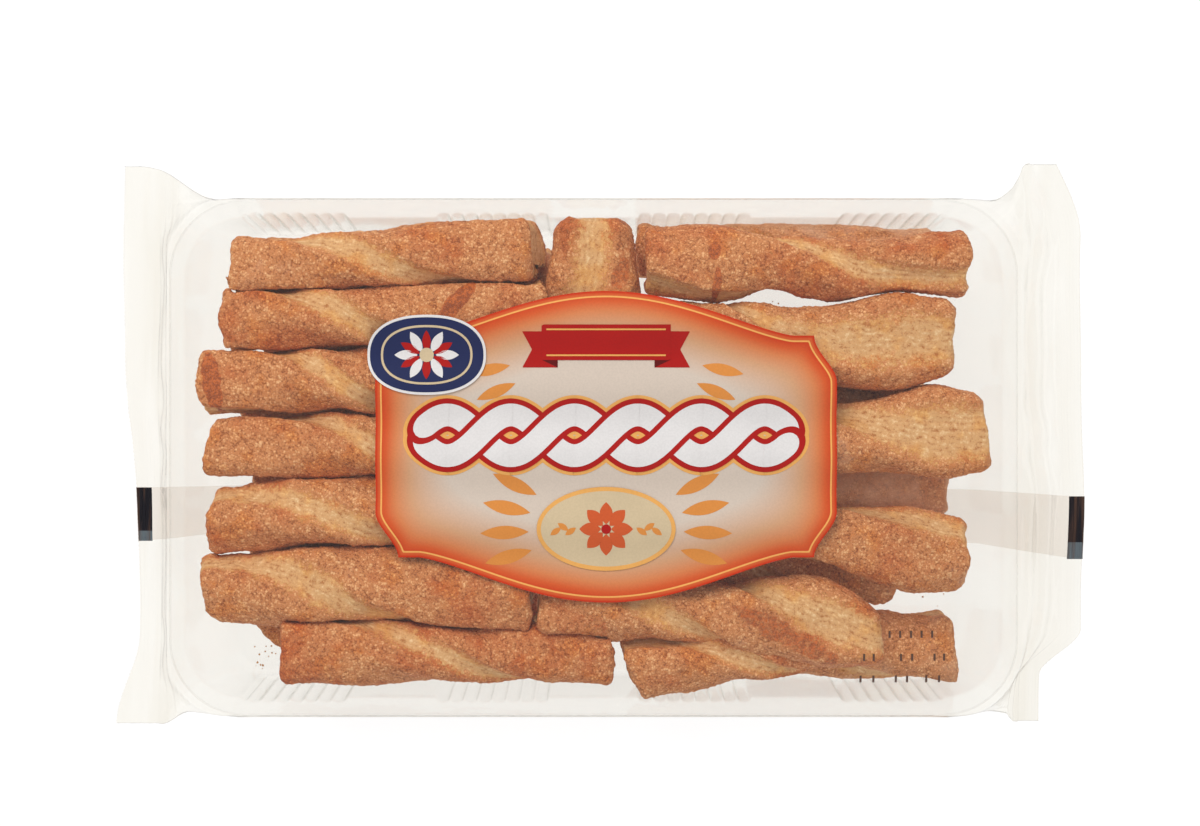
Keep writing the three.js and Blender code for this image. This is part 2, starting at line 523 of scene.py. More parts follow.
def pastry_material():
    """Baked pastry: sugar grains on the crust, darkened between them as painted shade and lightened on
    their tops as painted highlights, which thin out over the bare flaky sides, and rough patches of
    burnt sugar."""
    colours = settings().colours
    material, tree, output = new_material("baked_pastry")
    crust, grain, layer = (reading(tree, name) for name in ("crust", "grain", "layer"))
    gap, luck = crystals(tree, 0.75 * MM)
    specks = noise(tree, 0.45 * MM, 1)
    shades = (noise(tree, 3 * MM, 2), 0.5)
    # The sugar's tone: random for each grain, plus painted shade that darkens it away from each cell's
    # middle and between the relief's grains.
    tone = weighted(tree, (luck, 0.48), (gap, -0.4), (grain, -0.15), (specks, 0.8), shades, -0.12)
    crusty = crust_colour(tree, tone, reading(tree, "toast"))

    edge = weighted(tree, crust, (noise(tree, 2.4 * MM, 3, 0.6), 0.8), (luck, 0.55), -0.66)
    covered = stretch(tree, edge, 0.2, 0.8)
    baked = mixed(tree, covered, bare_colour(tree, layer, crust, specks), crusty)
    patchy = weighted(tree, reading(tree, "burnt"), (noise(tree, 1.6 * MM, 2), 0.5), (luck, 0.2), -0.35)
    burnt = stretch(tree, patchy, 0.3, 0.6)
    charred = mixed(tree, stretch(tree, tone, 0.25, 0.75), colours.burnt_deep, colours.burnt)
    baked = mixed(tree, burnt, baked, charred)

    sugar = sums(tree, "MULTIPLY", weighted(tree, (gap, -1.0), 1.0), covered)
    relief = weighted(tree, sugar, (specks, 0.6), (noise(tree, 1.4 * MM, 2), 0.5))
    bump = node(tree, "ShaderNodeBump", {"Height": relief, "Strength": 0.5, "Distance": 0.35 * MM})
    rough = weighted(tree, (stretch(tree, tone, 0.75, 0.95), -0.35), (burnt, -0.3), 0.85)
    values = {"Base Color": baked, "Roughness": rough, "Normal": bump.outputs[0]}
    shader = node(tree, "ShaderNodeBsdfPrincipled", values)
    tree.links.new(shader.outputs[0], output.inputs["Surface"])
    return material


def clear_material(name, tints, gloss, roughness, crinkle_size, crinkle):
    """Clear plastic as a thin sheet. Tints are what it lets through where it is plain, in haze and on
    edge: the first two are blended by the piece's haze, and towards the last as (1 - cos)^10. Gloss
    is the shares of light that it mirrors face on and edge on, face + (edge - face) * (1 - cos)^5.
    Both are the same from both sides."""
    material, tree, output = new_material(name)
    values = {"Height": noise(tree, crinkle_size, 2), "Strength": 1.0, "Distance": crinkle}
    bump = node(tree, "ShaderNodeBump", values).outputs[0]
    facing = node(tree, "ShaderNodeLayerWeight", {"Blend": 0.5, "Normal": bump}).outputs["Facing"]
    mirrored = weighted(tree, (sums(tree, "POWER", facing, 5.0), gloss[1] - gloss[0]), gloss[0])
    flat_tint = mixed(tree, reading(tree, "haze"), *tints[:2])
    through = mixed(tree, sums(tree, "POWER", facing, 10.0), flat_tint, tints[2])
    clear = node(tree, "ShaderNodeBsdfTransparent", {"Color": through})
    mirror = node(tree, "ShaderNodeBsdfGlossy", {"Roughness": roughness, "Normal": bump})
    both = node(tree, "ShaderNodeMixShader", {0: mirrored, 1: clear.outputs[0], 2: mirror.outputs[0]})
    tree.links.new(both.outputs[0], output.inputs["Surface"])
    return material


def ink_material(name, colour_of):
    """Printed colour under the film's gloss. colour_of makes its colour in the tree."""
    material, tree, output = new_material(name)
    speckle = stretch(tree, noise(tree, 0.6 * MM, 2), 0.3, 0.7, 0.96, 1.02)
    shaded = node(tree, "ShaderNodeVectorMath", {0: colour_of(tree), 1: speckle}, operation="MULTIPLY")
    waves = {"Height": noise(tree, 9 * MM), "Strength": 0.5, "Distance": 0.2 * MM}
    bump = node(tree, "ShaderNodeBump", waves)
    values = {"Base Color": shaded.outputs[0], "Roughness": 0.35, "Normal": bump.outputs[0]}
    shader = node(tree, "ShaderNodeBsdfPrincipled", values)
    shader.inputs["Specular IOR Level"].default_value = 0.25
    tree.links.new(shader.outputs[0], output.inputs["Surface"])
    return material


def plain_ink(name, value):
    """Ink of one colour, uneven in tone."""

    def colour_of(tree):
        deeper = tuple(0.86 * part for part in value)
        return mixed(tree, noise(tree, 14 * MM), value, deeper)

    return ink_material(name, colour_of)


# ---- The film's shape --------------------------------------------------------------------------
#
# A place runs along the pack: 0 at the tray's middle, 1 at its rim, 2 where the film becomes the flat
# seal and 3 at the seal's free edge, negative towards the left. A distance is measured along the pack
# from the tray's middle. An end is -1 on the left and 1 on the right, a side -1 near and 1 far.

# The distances in millimetres over which the ears grow, by end and side.
EAR_SPANS = {(-1, 1): (117, 146), (-1, -1): (128, 139), (1, 1): (125, 145), (1, -1): (124, 145)}

# The Y in millimetres over which the left seal's edge flares out towards +Y, the -Y from which its
# near corner runs out, and the Y and -Y over which the right seal's corners curl back.
FLARE_SPAN = (-40, 60)
CORNER_START = 62
CURL_FAR, CURL_NEAR = (66, 106), (60, 75)

# How the seals' waves are shifted across the pack, in radians, on the left and on the right.
WAVE_PHASES = (0.6, 2.4)


def distance_to(x):
    """Distance of x from the tray's middle."""
    return abs(x - settings().tray.middle_x)


def seal_reach(end, y):
    """Distances at which a seal starts and at which its free edge lies, at one y. The left edge
    flares out by a smoothstep of y, and the right seal curls back at both corners by another."""
    film = settings().film
    left = distance_to(film.left_seal)
    corner = distance_to(PACK_LOW.x) - left - film.seal_depth
    flare = film.left_flare * smooth(y / MM, *FLARE_SPAN)
    flare = flare + corner * smooth(-y, CORNER_START * MM, PACK_HIGH.y)
    curl = film.corner_curl * (smooth(y / MM, *CURL_FAR) + smooth(-y / MM, *CURL_NEAR))
    start = np.where(end < 0, left, distance_to(film.right_seal) - curl)
    edge = np.where(end < 0, left + film.seal_depth + flare, distance_to(PACK_HIGH.x) - curl)
    return start, edge


def distance_of(place, y):
    """The distance of a place: straight blends between middle, rim, seal start and free edge."""
    start, edge = seal_reach(np.sign(place), y)
    rim = settings().tray.rim_length / 2
    far = np.abs(place)
    beyond = np.where(far < 2, between(rim, start, far - 1), between(start, edge, far - 2))
    return np.where(far < 1, rim * far, beyond)


def ear_at(place, side):
    """How wide the ear on one side has grown at a place: a smoothstep of the distance."""
    reach = distance_of(place, 0 * place)
    grown = 0
    for (end, flank), (low, high) in EAR_SPANS.items():
        here = ((place < 0) == (end < 0)) & (side == flank)
        grown = grown + here * smooth(reach, low * MM, high * MM)
    return grown


def side_edge(place, side):
    """Y of the film's side: the rim's side, widening to the pack's full width past the corners."""
    tray = settings().tray
    return between(tray.middle_y + side * tray.rim_width / 2, side * PACK_HIGH.y, ear_at(place, side))


def descent(end, distance, y):
    """How far the film has come down from the rim, 0, to the seal, 1. The rim's end follows the
    circle of the corner's radius near the tray's sides."""
    tray, film = settings().tray, settings().film
    inward = tray.rim_width / 2 - np.abs(y - tray.middle_y)
    into_corner = np.clip(1 - inward / film.corner, 0, 1)
    rim = tray.rim_length / 2 - film.corner * (1 - np.sqrt(1 - into_corner**2))
    return np.clip((distance - rim) / (seal_reach(end, y)[0] - rim), 0, 1)


def edge_height(end, distance, y):
    """Height of the film without its crown: level over the tray, sloping to the seal, where it
    waves as a sum of two sines of y."""
    film = settings().film
    down = descent(end, distance, y)
    turn = math.tau * y / (PACK_HIGH.y - PACK_LOW.y)
    phase = np.where(end < 0, *WAVE_PHASES)
    wave = np.sin(1.5 * turn + phase) + 0.45 * np.sin(3.5 * turn - phase)
    return between(settings().tray.rim_height, film.seal_height, down) + film.seal_wave * wave * down


def folds(end, distance, y):
    """Folds between rim and seal: a sine of y whose pitch varies, deepest half way down."""
    film = settings().film
    turn = math.tau * y / film.fold_pitch
    depth = film.fold_depth * np.sin(math.pi * descent(end, distance, y))
    return depth * np.sin(turn + 1.3 * np.sin(turn / 2.7))


def inside_rim(distance, y):
    """1 in the tray's middle and 0 at its rim, as (1 - a^4)(1 - b^4) of the shares to the rim."""
    tray = settings().tray
    along = np.minimum(2 * distance / tray.rim_length, 1)
    across = np.minimum(2 * np.abs(y - tray.middle_y) / tray.rim_width, 1)
    return (1 - along**4) * (1 - across**4)


def film_top(end, distance, y):
    """Height of the film on top: edge height, crown with a cosine over the rows, and folds."""
    film, tray = settings().film, settings().tray
    swelling = film.swelling * np.cos(math.tau * (y - tray.middle_y) / film.twist_pitch)
    crown = inside_rim(distance, y) * (film.crown + swelling)
    return edge_height(end, distance, y) + crown + folds(end, distance, y)


def film_bottom(place, distance, y):
    """Height of the film underneath: the larger of the side's slope, the ground and the end's slope."""
    film, tray = settings().film, settings().tray
    end = np.sign(place)
    side = np.where(y < tray.middle_y, -1, 1)
    edge = side_edge(place, side)
    run = between(film.base_inset_sides, film.ear_run, ear_at(place, side))
    wall = edge_height(end, distance, edge) * (1 - side * (edge - y) / run)
    base_end = tray.rim_length / 2 - film.base_inset_ends
    seal = seal_reach(end, y)[0]
    climb = np.minimum((distance - base_end) / (seal - base_end), 1)
    slope = climb * edge_height(end, seal, y) - folds(end, distance, y)
    return rounded_max(rounded_max(wall, 0 * wall, film.crease), slope, film.crease)


def film_over(x, y):
    """Height of the film's top over a point of the tray."""
    middle = settings().tray.middle_x
    return film_top(np.sign(x - middle), np.abs(x - middle), y)


# ---- Film --------------------------------------------------------------------------------------

FILM_COLUMNS = 300
FILM_ROWS = {"tray": 22, "near_rim": 9, "slope": 15, "seal": 30}
NEAR_RIM = 0.87
TEETH_START = 2.93
SHEET_GAP = 0.16 * MM
FILM_GLOSS = (0.045, 0.75)


def film_places():
    """The places of the film's rows, close together from near the rim to the free edge."""
    spans = [(0, NEAR_RIM, "tray"), (NEAR_RIM, 1, "near_rim"), (1, 2, "slope"), (2, 3, "seal")]
    right = np.concatenate([np.linspace(a, b, FILM_ROWS[key] + 1)[1:] for a, b, key in spans])
    return np.concatenate([-right[::-1], [0], right])


def film_shares():
    """Shares across the film from -1 to 1, even in the middle and closer together at the sides."""
    even = np.linspace(-1, 1, FILM_COLUMNS + 1)
    return 0.8 * even + 0.2 * np.sin(even * math.pi / 2)


def loose_film(place, end, distance, y):
    """Relief of the film past the rim, beyond the solid's own folds: slack waves, which are a sine
    of the place, pleats, which are a folded noise of y, and fine crinkles."""
    film = settings().film
    past_rim = smooth(np.abs(place), 0.97, 1.15)
    before_seal = smooth(-np.abs(place), -2.0, -1.75)
    spots = np.stack([end * distance, y, 0 * y], axis=-1)
    crinkle = film.crinkle * layered_noise(spots * (1.6, 0.7, 1), 8 * MM, 11) * past_rim
    waves = np.sin(2.4 * math.tau * np.clip(np.abs(place) - 1, 0, 1) + 2 * np.sin(y / (19 * MM)))
    slack = film.slack * np.where(end > 0, 1, 0.35) * waves
    pleats = film.fold_depth * np.abs(lattice_noise(spots * (0.18, 1, 1), 12 * MM, 21)) ** 0.6
    return crinkle + (slack - 0.5 * pleats) * past_rim * before_seal


def film_sheets(place, y):
    """X, and the heights of the film's top and bottom, where places meet y. The solid's shape gets
    the loose film's relief, and the seals crimp lines, a sine of the distance into the seal."""
    film = settings().film
    end, distance = np.sign(place), distance_of(place, y)
    into_seal = np.clip(distance - seal_reach(end, y)[0], 0, None)
    crimp = film.crimp_depth * np.sin(math.tau * into_seal / film.crimp_pitch) * smooth(into_seal, 0, MM)
    loose = loose_film(place, end, distance, y)
    top = film_top(end, distance, y) + crimp + loose
    bottom = np.clip(film_bottom(place, distance, y) + crimp - 0.4 * loose, 0, top - SHEET_GAP)
    return settings().tray.middle_x + end * distance, top, bottom


def haze_at(points):
    """Haze of the film's points: streaks along Y, which are a stretched noise, past the tray's rim,
    fainter in the seals."""
    tray = settings().tray
    beyond = np.abs(points[..., 0] - tray.middle_x) - tray.rim_length / 2
    streaks = np.clip(0.5 + 0.8 * layered_noise(points * (1, 0.1, 0), 5 * MM, 51), 0, 1)
    in_seal = smooth(beyond, 9 * MM, 14 * MM)
    return streaks * smooth(beyond, -4 * MM, 5 * MM) * (1 - 0.5 * in_seal)


def film_points():
    """Points of the film, one row for each place: over the top from -Y to +Y and back underneath.
    The free edges are cut in teeth."""
    film, tray = settings().film, settings().tray
    place, part = np.meshgrid(film_places(), film_shares(), indexing="ij")
    y = between(tray.middle_y, side_edge(place, np.where(part < 0, -1, 1)), np.abs(part))
    x, top, bottom = film_sheets(place, y)
    tooth = film.tooth * (np.arange(FILM_COLUMNS + 1) % 2) * smooth(np.abs(place), TEETH_START, 3)
    x = x - np.sign(place) * tooth
    over = np.stack([x, y, top], axis=-1)
    under = np.stack([x, y, bottom], axis=-1)
    under[[0, -1]] = over[[0, -1]]
    return np.concatenate([over, under[:, -2:0:-1]], axis=1)


def make_film():
    """The film as one closed sheet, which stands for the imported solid."""
    points = film_points()
    rows, columns = points.shape[:2]
    numbers = {"haze": haze_at(points)}
    mesh = close_mesh(make_mesh("film", points.reshape(-1, 3), [grid_faces(rows, columns, True)], numbers))
    colours = settings().colours
    tints = (colours.film, colours.film_haze, colours.film_edge)
    material = clear_material("clear_film", tints, FILM_GLOSS, 0.08, 6 * MM, 0.25 * MM)
    piece = make_piece("film", mesh, material)
    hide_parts(PACK_NODE)
    return piece


# ---- Tray --------------------------------------------------------------------------------------


class TrayRow(NamedTuple):
    """A row of the tray's profile: how far in from the rim's end and side, how high, how much of the
    ribs' depth it has, and how far it is drawn in to the middle."""

    end_inset: float
    side_inset: float
    height: float
    ribs: float
    drawn_in: float = 0.0


TRAY_LIP = [
    TrayRow(0.0, 0.0, 35.4, 0.0),
    TrayRow(0.1, 0.1, 36.9, 0.0),
    TrayRow(0.5, 0.5, 37.4, 0.0),
    TrayRow(1.4, 1.4, 37.2, 0.0),
    TrayRow(3.2, 3.3, 37.2, 0.0),
    TrayRow(4.2, 5.0, 37.1, 1.0),
    TrayRow(4.5, 5.3, 36.6, 1.0),
    TrayRow(4.7, 5.5, 35.0, 1.0),
]
TRAY_FOOT = [
    TrayRow(11.6, 7.9, 5.0, 0.9),
    TrayRow(12.0, 8.6, 3.0, 0.5),
    TrayRow(12.25, 9.3, 1.7, 0.0),
    TrayRow(12.35, 9.45, 0.8, 0.0),
    TrayRow(12.6, 9.7, 0.8, 0.0),
    TrayRow(12.7, 9.85, 1.35, 0.0),
    TrayRow(19.6, 16.6, 1.4, 0.0),
    TrayRow(19.6, 16.6, 1.4, 0.0, 0.35),
    TrayRow(19.6, 16.6, 1.4, 0.0, 0.7),
]
TRAY_WALL_ROWS = 7
TRAY_GLOSS = (0.02, 0.4)
CORNER_POINTS = 26
POINTS_PER_RIB = 9
END_STEP = 4 * MM


def rounded_outline(half_length, half_width, corner, long_step, short_step):
    """Points and outward normals round a rounded rectangle, counterclockwise: a quarter circle for
    each corner, and then the straight run to the next."""
    points, normals = [], []
    for number in range(4):
        angles = (number + np.linspace(0, 1, CORNER_POINTS)) * math.pi / 2
        around = np.stack([np.cos(angles), np.sin(angles)], axis=-1)
        signs = np.sign(around[CORNER_POINTS // 2])
        arc = signs * (half_length - corner, half_width - corner) + around * corner
        run, step = ((half_length, long_step), (half_width, short_step))[number % 2]
        steps = max(int(2 * (run - corner) / step), 2)
        way = np.array([-around[-1][1], around[-1][0]])
        walked = np.arange(1, steps)[:, None] / steps * 2 * (run - corner)
        points += [arc, arc[-1] + walked * way]
        normals += [around, np.repeat(around[-1:], steps - 1, axis=0)]
    return np.concatenate(points), np.concatenate(normals)


def rib_profile(x):
    """Half circles side by side in groups spread along the wall, 1 on a rib's ridge and 0 between."""
    tray = settings().tray
    group = np.clip(np.round(x / tray.rib_group_pitch - 0.5) + 0.5, -1.5, 1.5)
    local = x - group * tray.rib_group_pitch
    inside = np.abs(local) < tray.ribs_in_group * tray.rib_pitch / 2
    phase = (local / tray.rib_pitch) % 1 * 2 - 1
    return np.sqrt(1 - phase**2) * inside


def make_tray():
    """The tray: its rounded outline, drawn in row by row from the lip down the wall to the base."""
    tray, colours = settings().tray, settings().colours
    halves = (tray.rim_length / 2 - tray.play, tray.rim_width / 2 - tray.play)
    outline, normals = rounded_outline(*halves, tray.corner, tray.rib_pitch / POINTS_PER_RIB, END_STEP)
    steps = np.linspace(0, 1, TRAY_WALL_ROWS + 1)[1:-1]
    wall = [TrayRow(*between(np.array(TRAY_LIP[-1]), np.array(TRAY_FOOT[0]), step)) for step in steps]
    rows = np.array(TRAY_LIP + wall + TRAY_FOOT)
    inset = rows[:, None, :2] * MM * normals
    on_long_wall = np.abs(normals[:, 1]) > 0.999
    ribs = rows[:, None, 3] * tray.rib_depth * rib_profile(outline[:, 0]) * on_long_wall
    inset[..., 1] -= ribs * np.sign(normals[:, 1])
    flat = (outline - inset) * (1 - rows[:, None, 4:])
    height = np.broadcast_to(rows[:, 2:3] * MM, flat.shape[:2])
    points = np.concatenate([flat, height[..., None]], axis=-1)
    points += (tray.middle_x, tray.middle_y, 0)
    pole = np.array([[tray.middle_x, tray.middle_y, points[-1, 0, 2]]])
    count, around = points.shape[:2]
    ring = np.arange(around) + (count - 1) * around
    faces = [grid_faces(count, around, True), fan_faces(count * around, ring)]
    mesh = close_mesh(make_mesh("tray", np.concatenate([points.reshape(-1, 3), pole]), faces))
    tints = (colours.tray, colours.tray, colours.tray_edge)
    material = clear_material("clear_tray", tints, TRAY_GLOSS, 0.1, 30 * MM, 0.3 * MM)
    piece = make_piece("tray", mesh, material)
    wall = piece.modifiers.new("wall", "SOLIDIFY")
    wall.thickness = tray.wall
    wall.offset = 0
    return piece


# ---- Twists ------------------------------------------------------------------------------------


class Burn(NamedTuple):
    """A patch of burnt sugar seen from above: its middle, half length and half width in millimetres,
    the angle of its length from +X in degrees, and how dark it is."""

    x: float
    y: float
    half_length: float
    half_width: float
    angle: float
    strength: float = 0.9


class Twist(NamedTuple):
    """A twist: its axis from start to end in millimetres, the strip's width at even steps along it,
    the side that the bare flank faces at both ends in degrees from +Y over the top, the strip's
    thickness at even steps, the shares of the axis between which it turns most, the bare share of a
    side at both ends, how round both ends are, how far they are sheared sideways, how far it bends
    sideways at even steps, how far the end's cut face leans, how toasted it is, where a negative
    value makes it paler as painted light, and its burns."""

    name: str
    start: tuple
    end: tuple
    width: tuple = (20, 20)
    turn: tuple = (0, 180)
    thick: tuple = (18.5, 19.5, 18.5)
    span: tuple = (0.05, 0.9)
    bare: tuple = (0.42, 0.42)
    round: tuple = (2.0, 2.0)
    skew: tuple = (0.0, 0.0)
    bow: tuple = (0.0, 0.0)
    slant: float = 0.0
    toast: float = 0.0
    burns: tuple = ()


# The twists that the photo shows, from the far side to the near side on the left, in the middle and
# on the right. Those of the lower layer lie between the tray's base and the upper ones.
UPPER_TWISTS = [
    Twist(
        "left_1", (-116.1, 55.5, 29.2), (-19.6, 61.6, 29.6), (18, 21.5), (-14, 188), span=(0.05, 0.85),
        bare=(0.5, 0.45), round=(2, 3.5), skew=(0.15, 0), slant=0.27,
    ),
    Twist(
        "left_2", (-118.5, 38.7, 29.6), (-16.8, 42.0, 29.9), (21, 21), (-6, 188), span=(0.03, 0.75),
        bare=(0.58, 0.5), burns=(Burn(-45.5, 43.5, 9.5, 2.8, 51),),
    ),
    Twist(
        "left_3", (-125.9, 19.4, 29.8), (-28.5, 21.0, 30), (20.5, 21), (-14, 188), span=(0.15, 0.75),
        bare=(0.55, 0.5), toast=0.05, burns=(Burn(-121.2, 19.7, 10, 3, -78),),
    ),
    Twist(
        "left_4", (-123.5, -0.9, 29.6), (-26.9, -0.2, 30), (20, 21), (-14, 188), span=(0.22, 0.85),
        round=(3, 2), skew=(0.2, 0),
    ),
    Twist(
        "left_5", (-122.6, -22.8, 29.8), (-25.3, -20.3, 30), (20.5, 23.5, 19, 20.5), (35, 200),
        (17, 21.5, 20, 19), round=(3, 2), skew=(0.12, 0), bow=(-1.8, 0.4, 0, 0),
    ),
    Twist(
        "left_6", (-126.6, -45.2, 29.8), (-21.2, -49.4, 30), (19.5, 24, 24.5, 22), (25, 215),
        (17, 25, 22, 19.5), round=(6, 2.5), skew=(-0.25, 0), bow=(0, 1, 3.3, 2, 0), toast=0.12,
        burns=(Burn(-65, -34, 6, 2.5, 0, 0.35),),
    ),
    Twist(
        "left_7", (-100, -64.5, 29.2), (3.6, -67.3, 27), (21.5, 20.5, 16.5), (-10, 190),
        (19, 19.5, 16.5), bow=(0, 0, 0, 1, 1.5, 0), toast=0.25,
    ),
    Twist(
        "middle", (-2.6, 72.5, 28.6), (-2.6, -24, 29.6), (19, 21), (82, 250), (26, 31, 19),
        round=(6, 2), toast=0.15, burns=(Burn(6.3, 53, 6.5, 3, 80, 0.5),),
    ),
    Twist(
        "right_1", (14.4, 57.0, 29.4), (115.6, 56.5, 29.4), (19.5, 24, 17, 18, 17, 19), (-38, 128),
        (18.5, 21, 16.5, 20, 16.5, 19.5), span=(0.15, 0.9), bow=(0.5, -0.4, 0.6, -2, -0.1, 0.5),
        toast=0.2, burns=(Burn(35.8, 60.5, 3, 2.2, 80, 0.75), Burn(36.4, 50, 6, 1.6, 85, 0.6)),
    ),
    Twist(
        "right_2", (16.4, 36.6, 29.6), (112, 33.9, 29.8), (19, 19, 20, 19), (-65, 104),
        (17, 17, 19, 27, 33, 25), span=(0, 0.5), bare=(0.42, 0.6), round=(2, 4.5),
        bow=(0, 0, -1.8, -2.7, -1.4, -0.5),
    ),
    Twist(
        "right_3", (28.8, 3.1, 29.8), (122.6, 3.9, 29.8), (18, 18, 19.5, 18, 19, 19), (-60, 95),
        (17, 18, 20, 23, 29.5, 23), span=(0.05, 0.8), bare=(0.42, 0.7), round=(2, 4), skew=(0, -0.15),
        bow=(0, 0, -1.6, -1.3, 0.3, 0.8), burns=(Burn(92.6, -1, 9, 3.5, -25, 0.3),),
    ),
    Twist(
        "right_4", (26, -28.0, 29.8), (116, -34, 29.8), (18, 17, 17, 20, 25, 22), (-50, 50),
        (17, 17, 17, 19, 24, 21), span=(0, 1), round=(2, 3.5), bow=(0, 1, 2.5, 1.3, -0.7, -1.5),
        burns=(Burn(97, -38, 12, 4, 5, 0.3),),
    ),
    Twist(
        "right_5", (-20.4, -51.6, 30.4), (90, -58, 29.8), (18, 17, 17, 20, 22, 18), (-12, 264),
        (17.5, 17.5, 17.5, 20, 29, 19), span=(0, 0.85), bare=(0.42, 0.55), round=(5.5, 5),
        skew=(0, -0.15), bow=(0, 0.8, 2, 1.5, 1, -3.6), toast=0.1,
        burns=(Burn(58.7, -59.4, 21, 4.2, -27, 0.5), Burn(-3, -57, 9, 4, -15, 0.4)),
    ),
    Twist(
        "right_6", (8.9, -71.3, 28), (86, -62.5, 22.5), (18, 14), (8, 190), (17, 16, 13),
        skew=(-0.25, 0), toast=0.22,
    ),
]


def lower(number, start, end, width, turn, skew=(0.0, 0.0), toast=-0.3):
    """A twist of the lower layer, painted paler than the upper one: painted light that makes up for the
    shade under the upper layer.
    """
    return Twist(f"under_{number}", start, end, width, turn, skew=skew, toast=toast)


LOWER_TWISTS = [
    lower(1, (-112, 58, 10), (-16, 55, 10.4), (19, 18.5), (10, 190)),
    lower(2, (-110, 36, 10.4), (-13, 37, 10), (19, 19), (-15, 165)),
    lower(3, (-116, 14, 10.2), (-18, 17, 10.4), (18.5, 19), (20, 200)),
    lower(4, (-113, -8, 10.4), (-16, -5, 10), (19, 18), (-5, 180)),
    lower(5, (-114, -31, 10), (-15, -28, 10.2), (18, 19), (30, 215)),
    lower(6, (-112, -58, 10.2), (-20, -54, 10.4), (18.5, 18.5), (5, 185), skew=(-0.8, 0)),
    lower(7, (12, 62.5, 10.2), (108, 61.5, 10), (17.5, 17), (0, 180)),
    lower(8, (10, 33, 10.2), (104, 30, 10.2), (18.5, 18), (-20, 160)),
    lower(9, (14, 9, 10), (110, 10, 10.4), (18.5, 18.5), (15, 195)),
    # Painted paler still, where the upper twists shade it most.
    lower(10, (16, -14, 10.4), (113.2, -15.5, 10.2), (18.5, 17), (20, 180), toast=-0.5),
    lower(11, (6, -39, 10.2), (97, -45.5, 10), (18.5, 16), (-10, 170), skew=(0, 0.5)),
    lower(12, (20, -64, 10), (115.2, -66.2, 10), (17.5, 23.5), (0, 180), skew=(0, -0.2)),
]

# Twists that lie side by side and touch, the far one first.
NEIGHBOURS = [
    *[(f"left_{k}", f"left_{k + 1}") for k in range(1, 7)],
    *[(f"right_{k}", f"right_{k + 1}") for k in range(1, 4)],
    ("right_5", "left_7"),
    *[(f"under_{k}", f"under_{k + 1}") for k in range(1, 6)],
    *[(f"under_{k}", f"under_{k + 1}") for k in range(7, 12)],
]
TOUCH_GAP = 0.12 * MM
TOUCH_ROUNDING = 1.2 * MM

# How far a twist stays off the film or the tray's base and how round it is pressed there, before and
# after it gets its relief.
BODY_PRESS = {"gap": 0.8 * MM, "rounding": 2.4 * MM}
SKIN_PRESS = {"gap": 0.2 * MM, "rounding": 0.6 * MM}

# How many points a twist has along and round it, in the upper and in the lower layer.
FINE_GRID, COARSE_GRID = (230, 140), (150, 84)
CAP_EDGE_ROWS, CAP_ROWS = 7, 5
END_SIZE = 8


def strip_section(columns, width, thickness):
    """Points round the strip's section as shares of its half width and half thickness: the
    superellipse |p|^n + |q|^n = 1, stepped evenly by arc length."""
    angles = np.linspace(0, math.tau, 1441)
    power = 2 / settings().twists.squareness
    across = np.sign(np.cos(angles)) * np.abs(np.cos(angles)) ** power
    through = np.sign(np.sin(angles)) * np.abs(np.sin(angles)) ** power
    steps = np.hypot(np.diff(across * width), np.diff(through * thickness))
    walked = np.concatenate([[0], np.cumsum(steps)])
    stops = np.linspace(0, walked[-1], columns + 1)[:-1]
    return np.interp(stops, walked, across), np.interp(stops, walked, through)


def cap_rows(radius):
    """Rows that close an end, as (how far before the end in metres, share of the section's size): a
    quarter circle round the edge, and then the flat cut face in to its middle."""
    angles = np.linspace(0, math.pi / 2, CAP_EDGE_ROWS + 1)[1:]
    rounded = 1 - radius / END_SIZE * (1 - np.cos(angles))
    inward = np.linspace(rounded[-1], 0.05, CAP_ROWS)[1:]
    before = np.concatenate([radius * (1 - np.sin(angles)), np.zeros(CAP_ROWS - 1)])
    return before * MM, np.concatenate([rounded, inward])


def strip_rows(twist, rows, axis_length):
    """For each row of points: its place along the axis and its section's share of full size."""
    before_start, start_size = cap_rows(twist.round[0])
    before_end, end_size = cap_rows(twist.round[1])
    body = np.linspace(twist.round[0] * MM, axis_length - twist.round[1] * MM, rows)
    along = np.concatenate([before_start[::-1], body, axis_length - before_end])
    return along, np.concatenate([start_size[::-1], np.ones(rows), end_size])


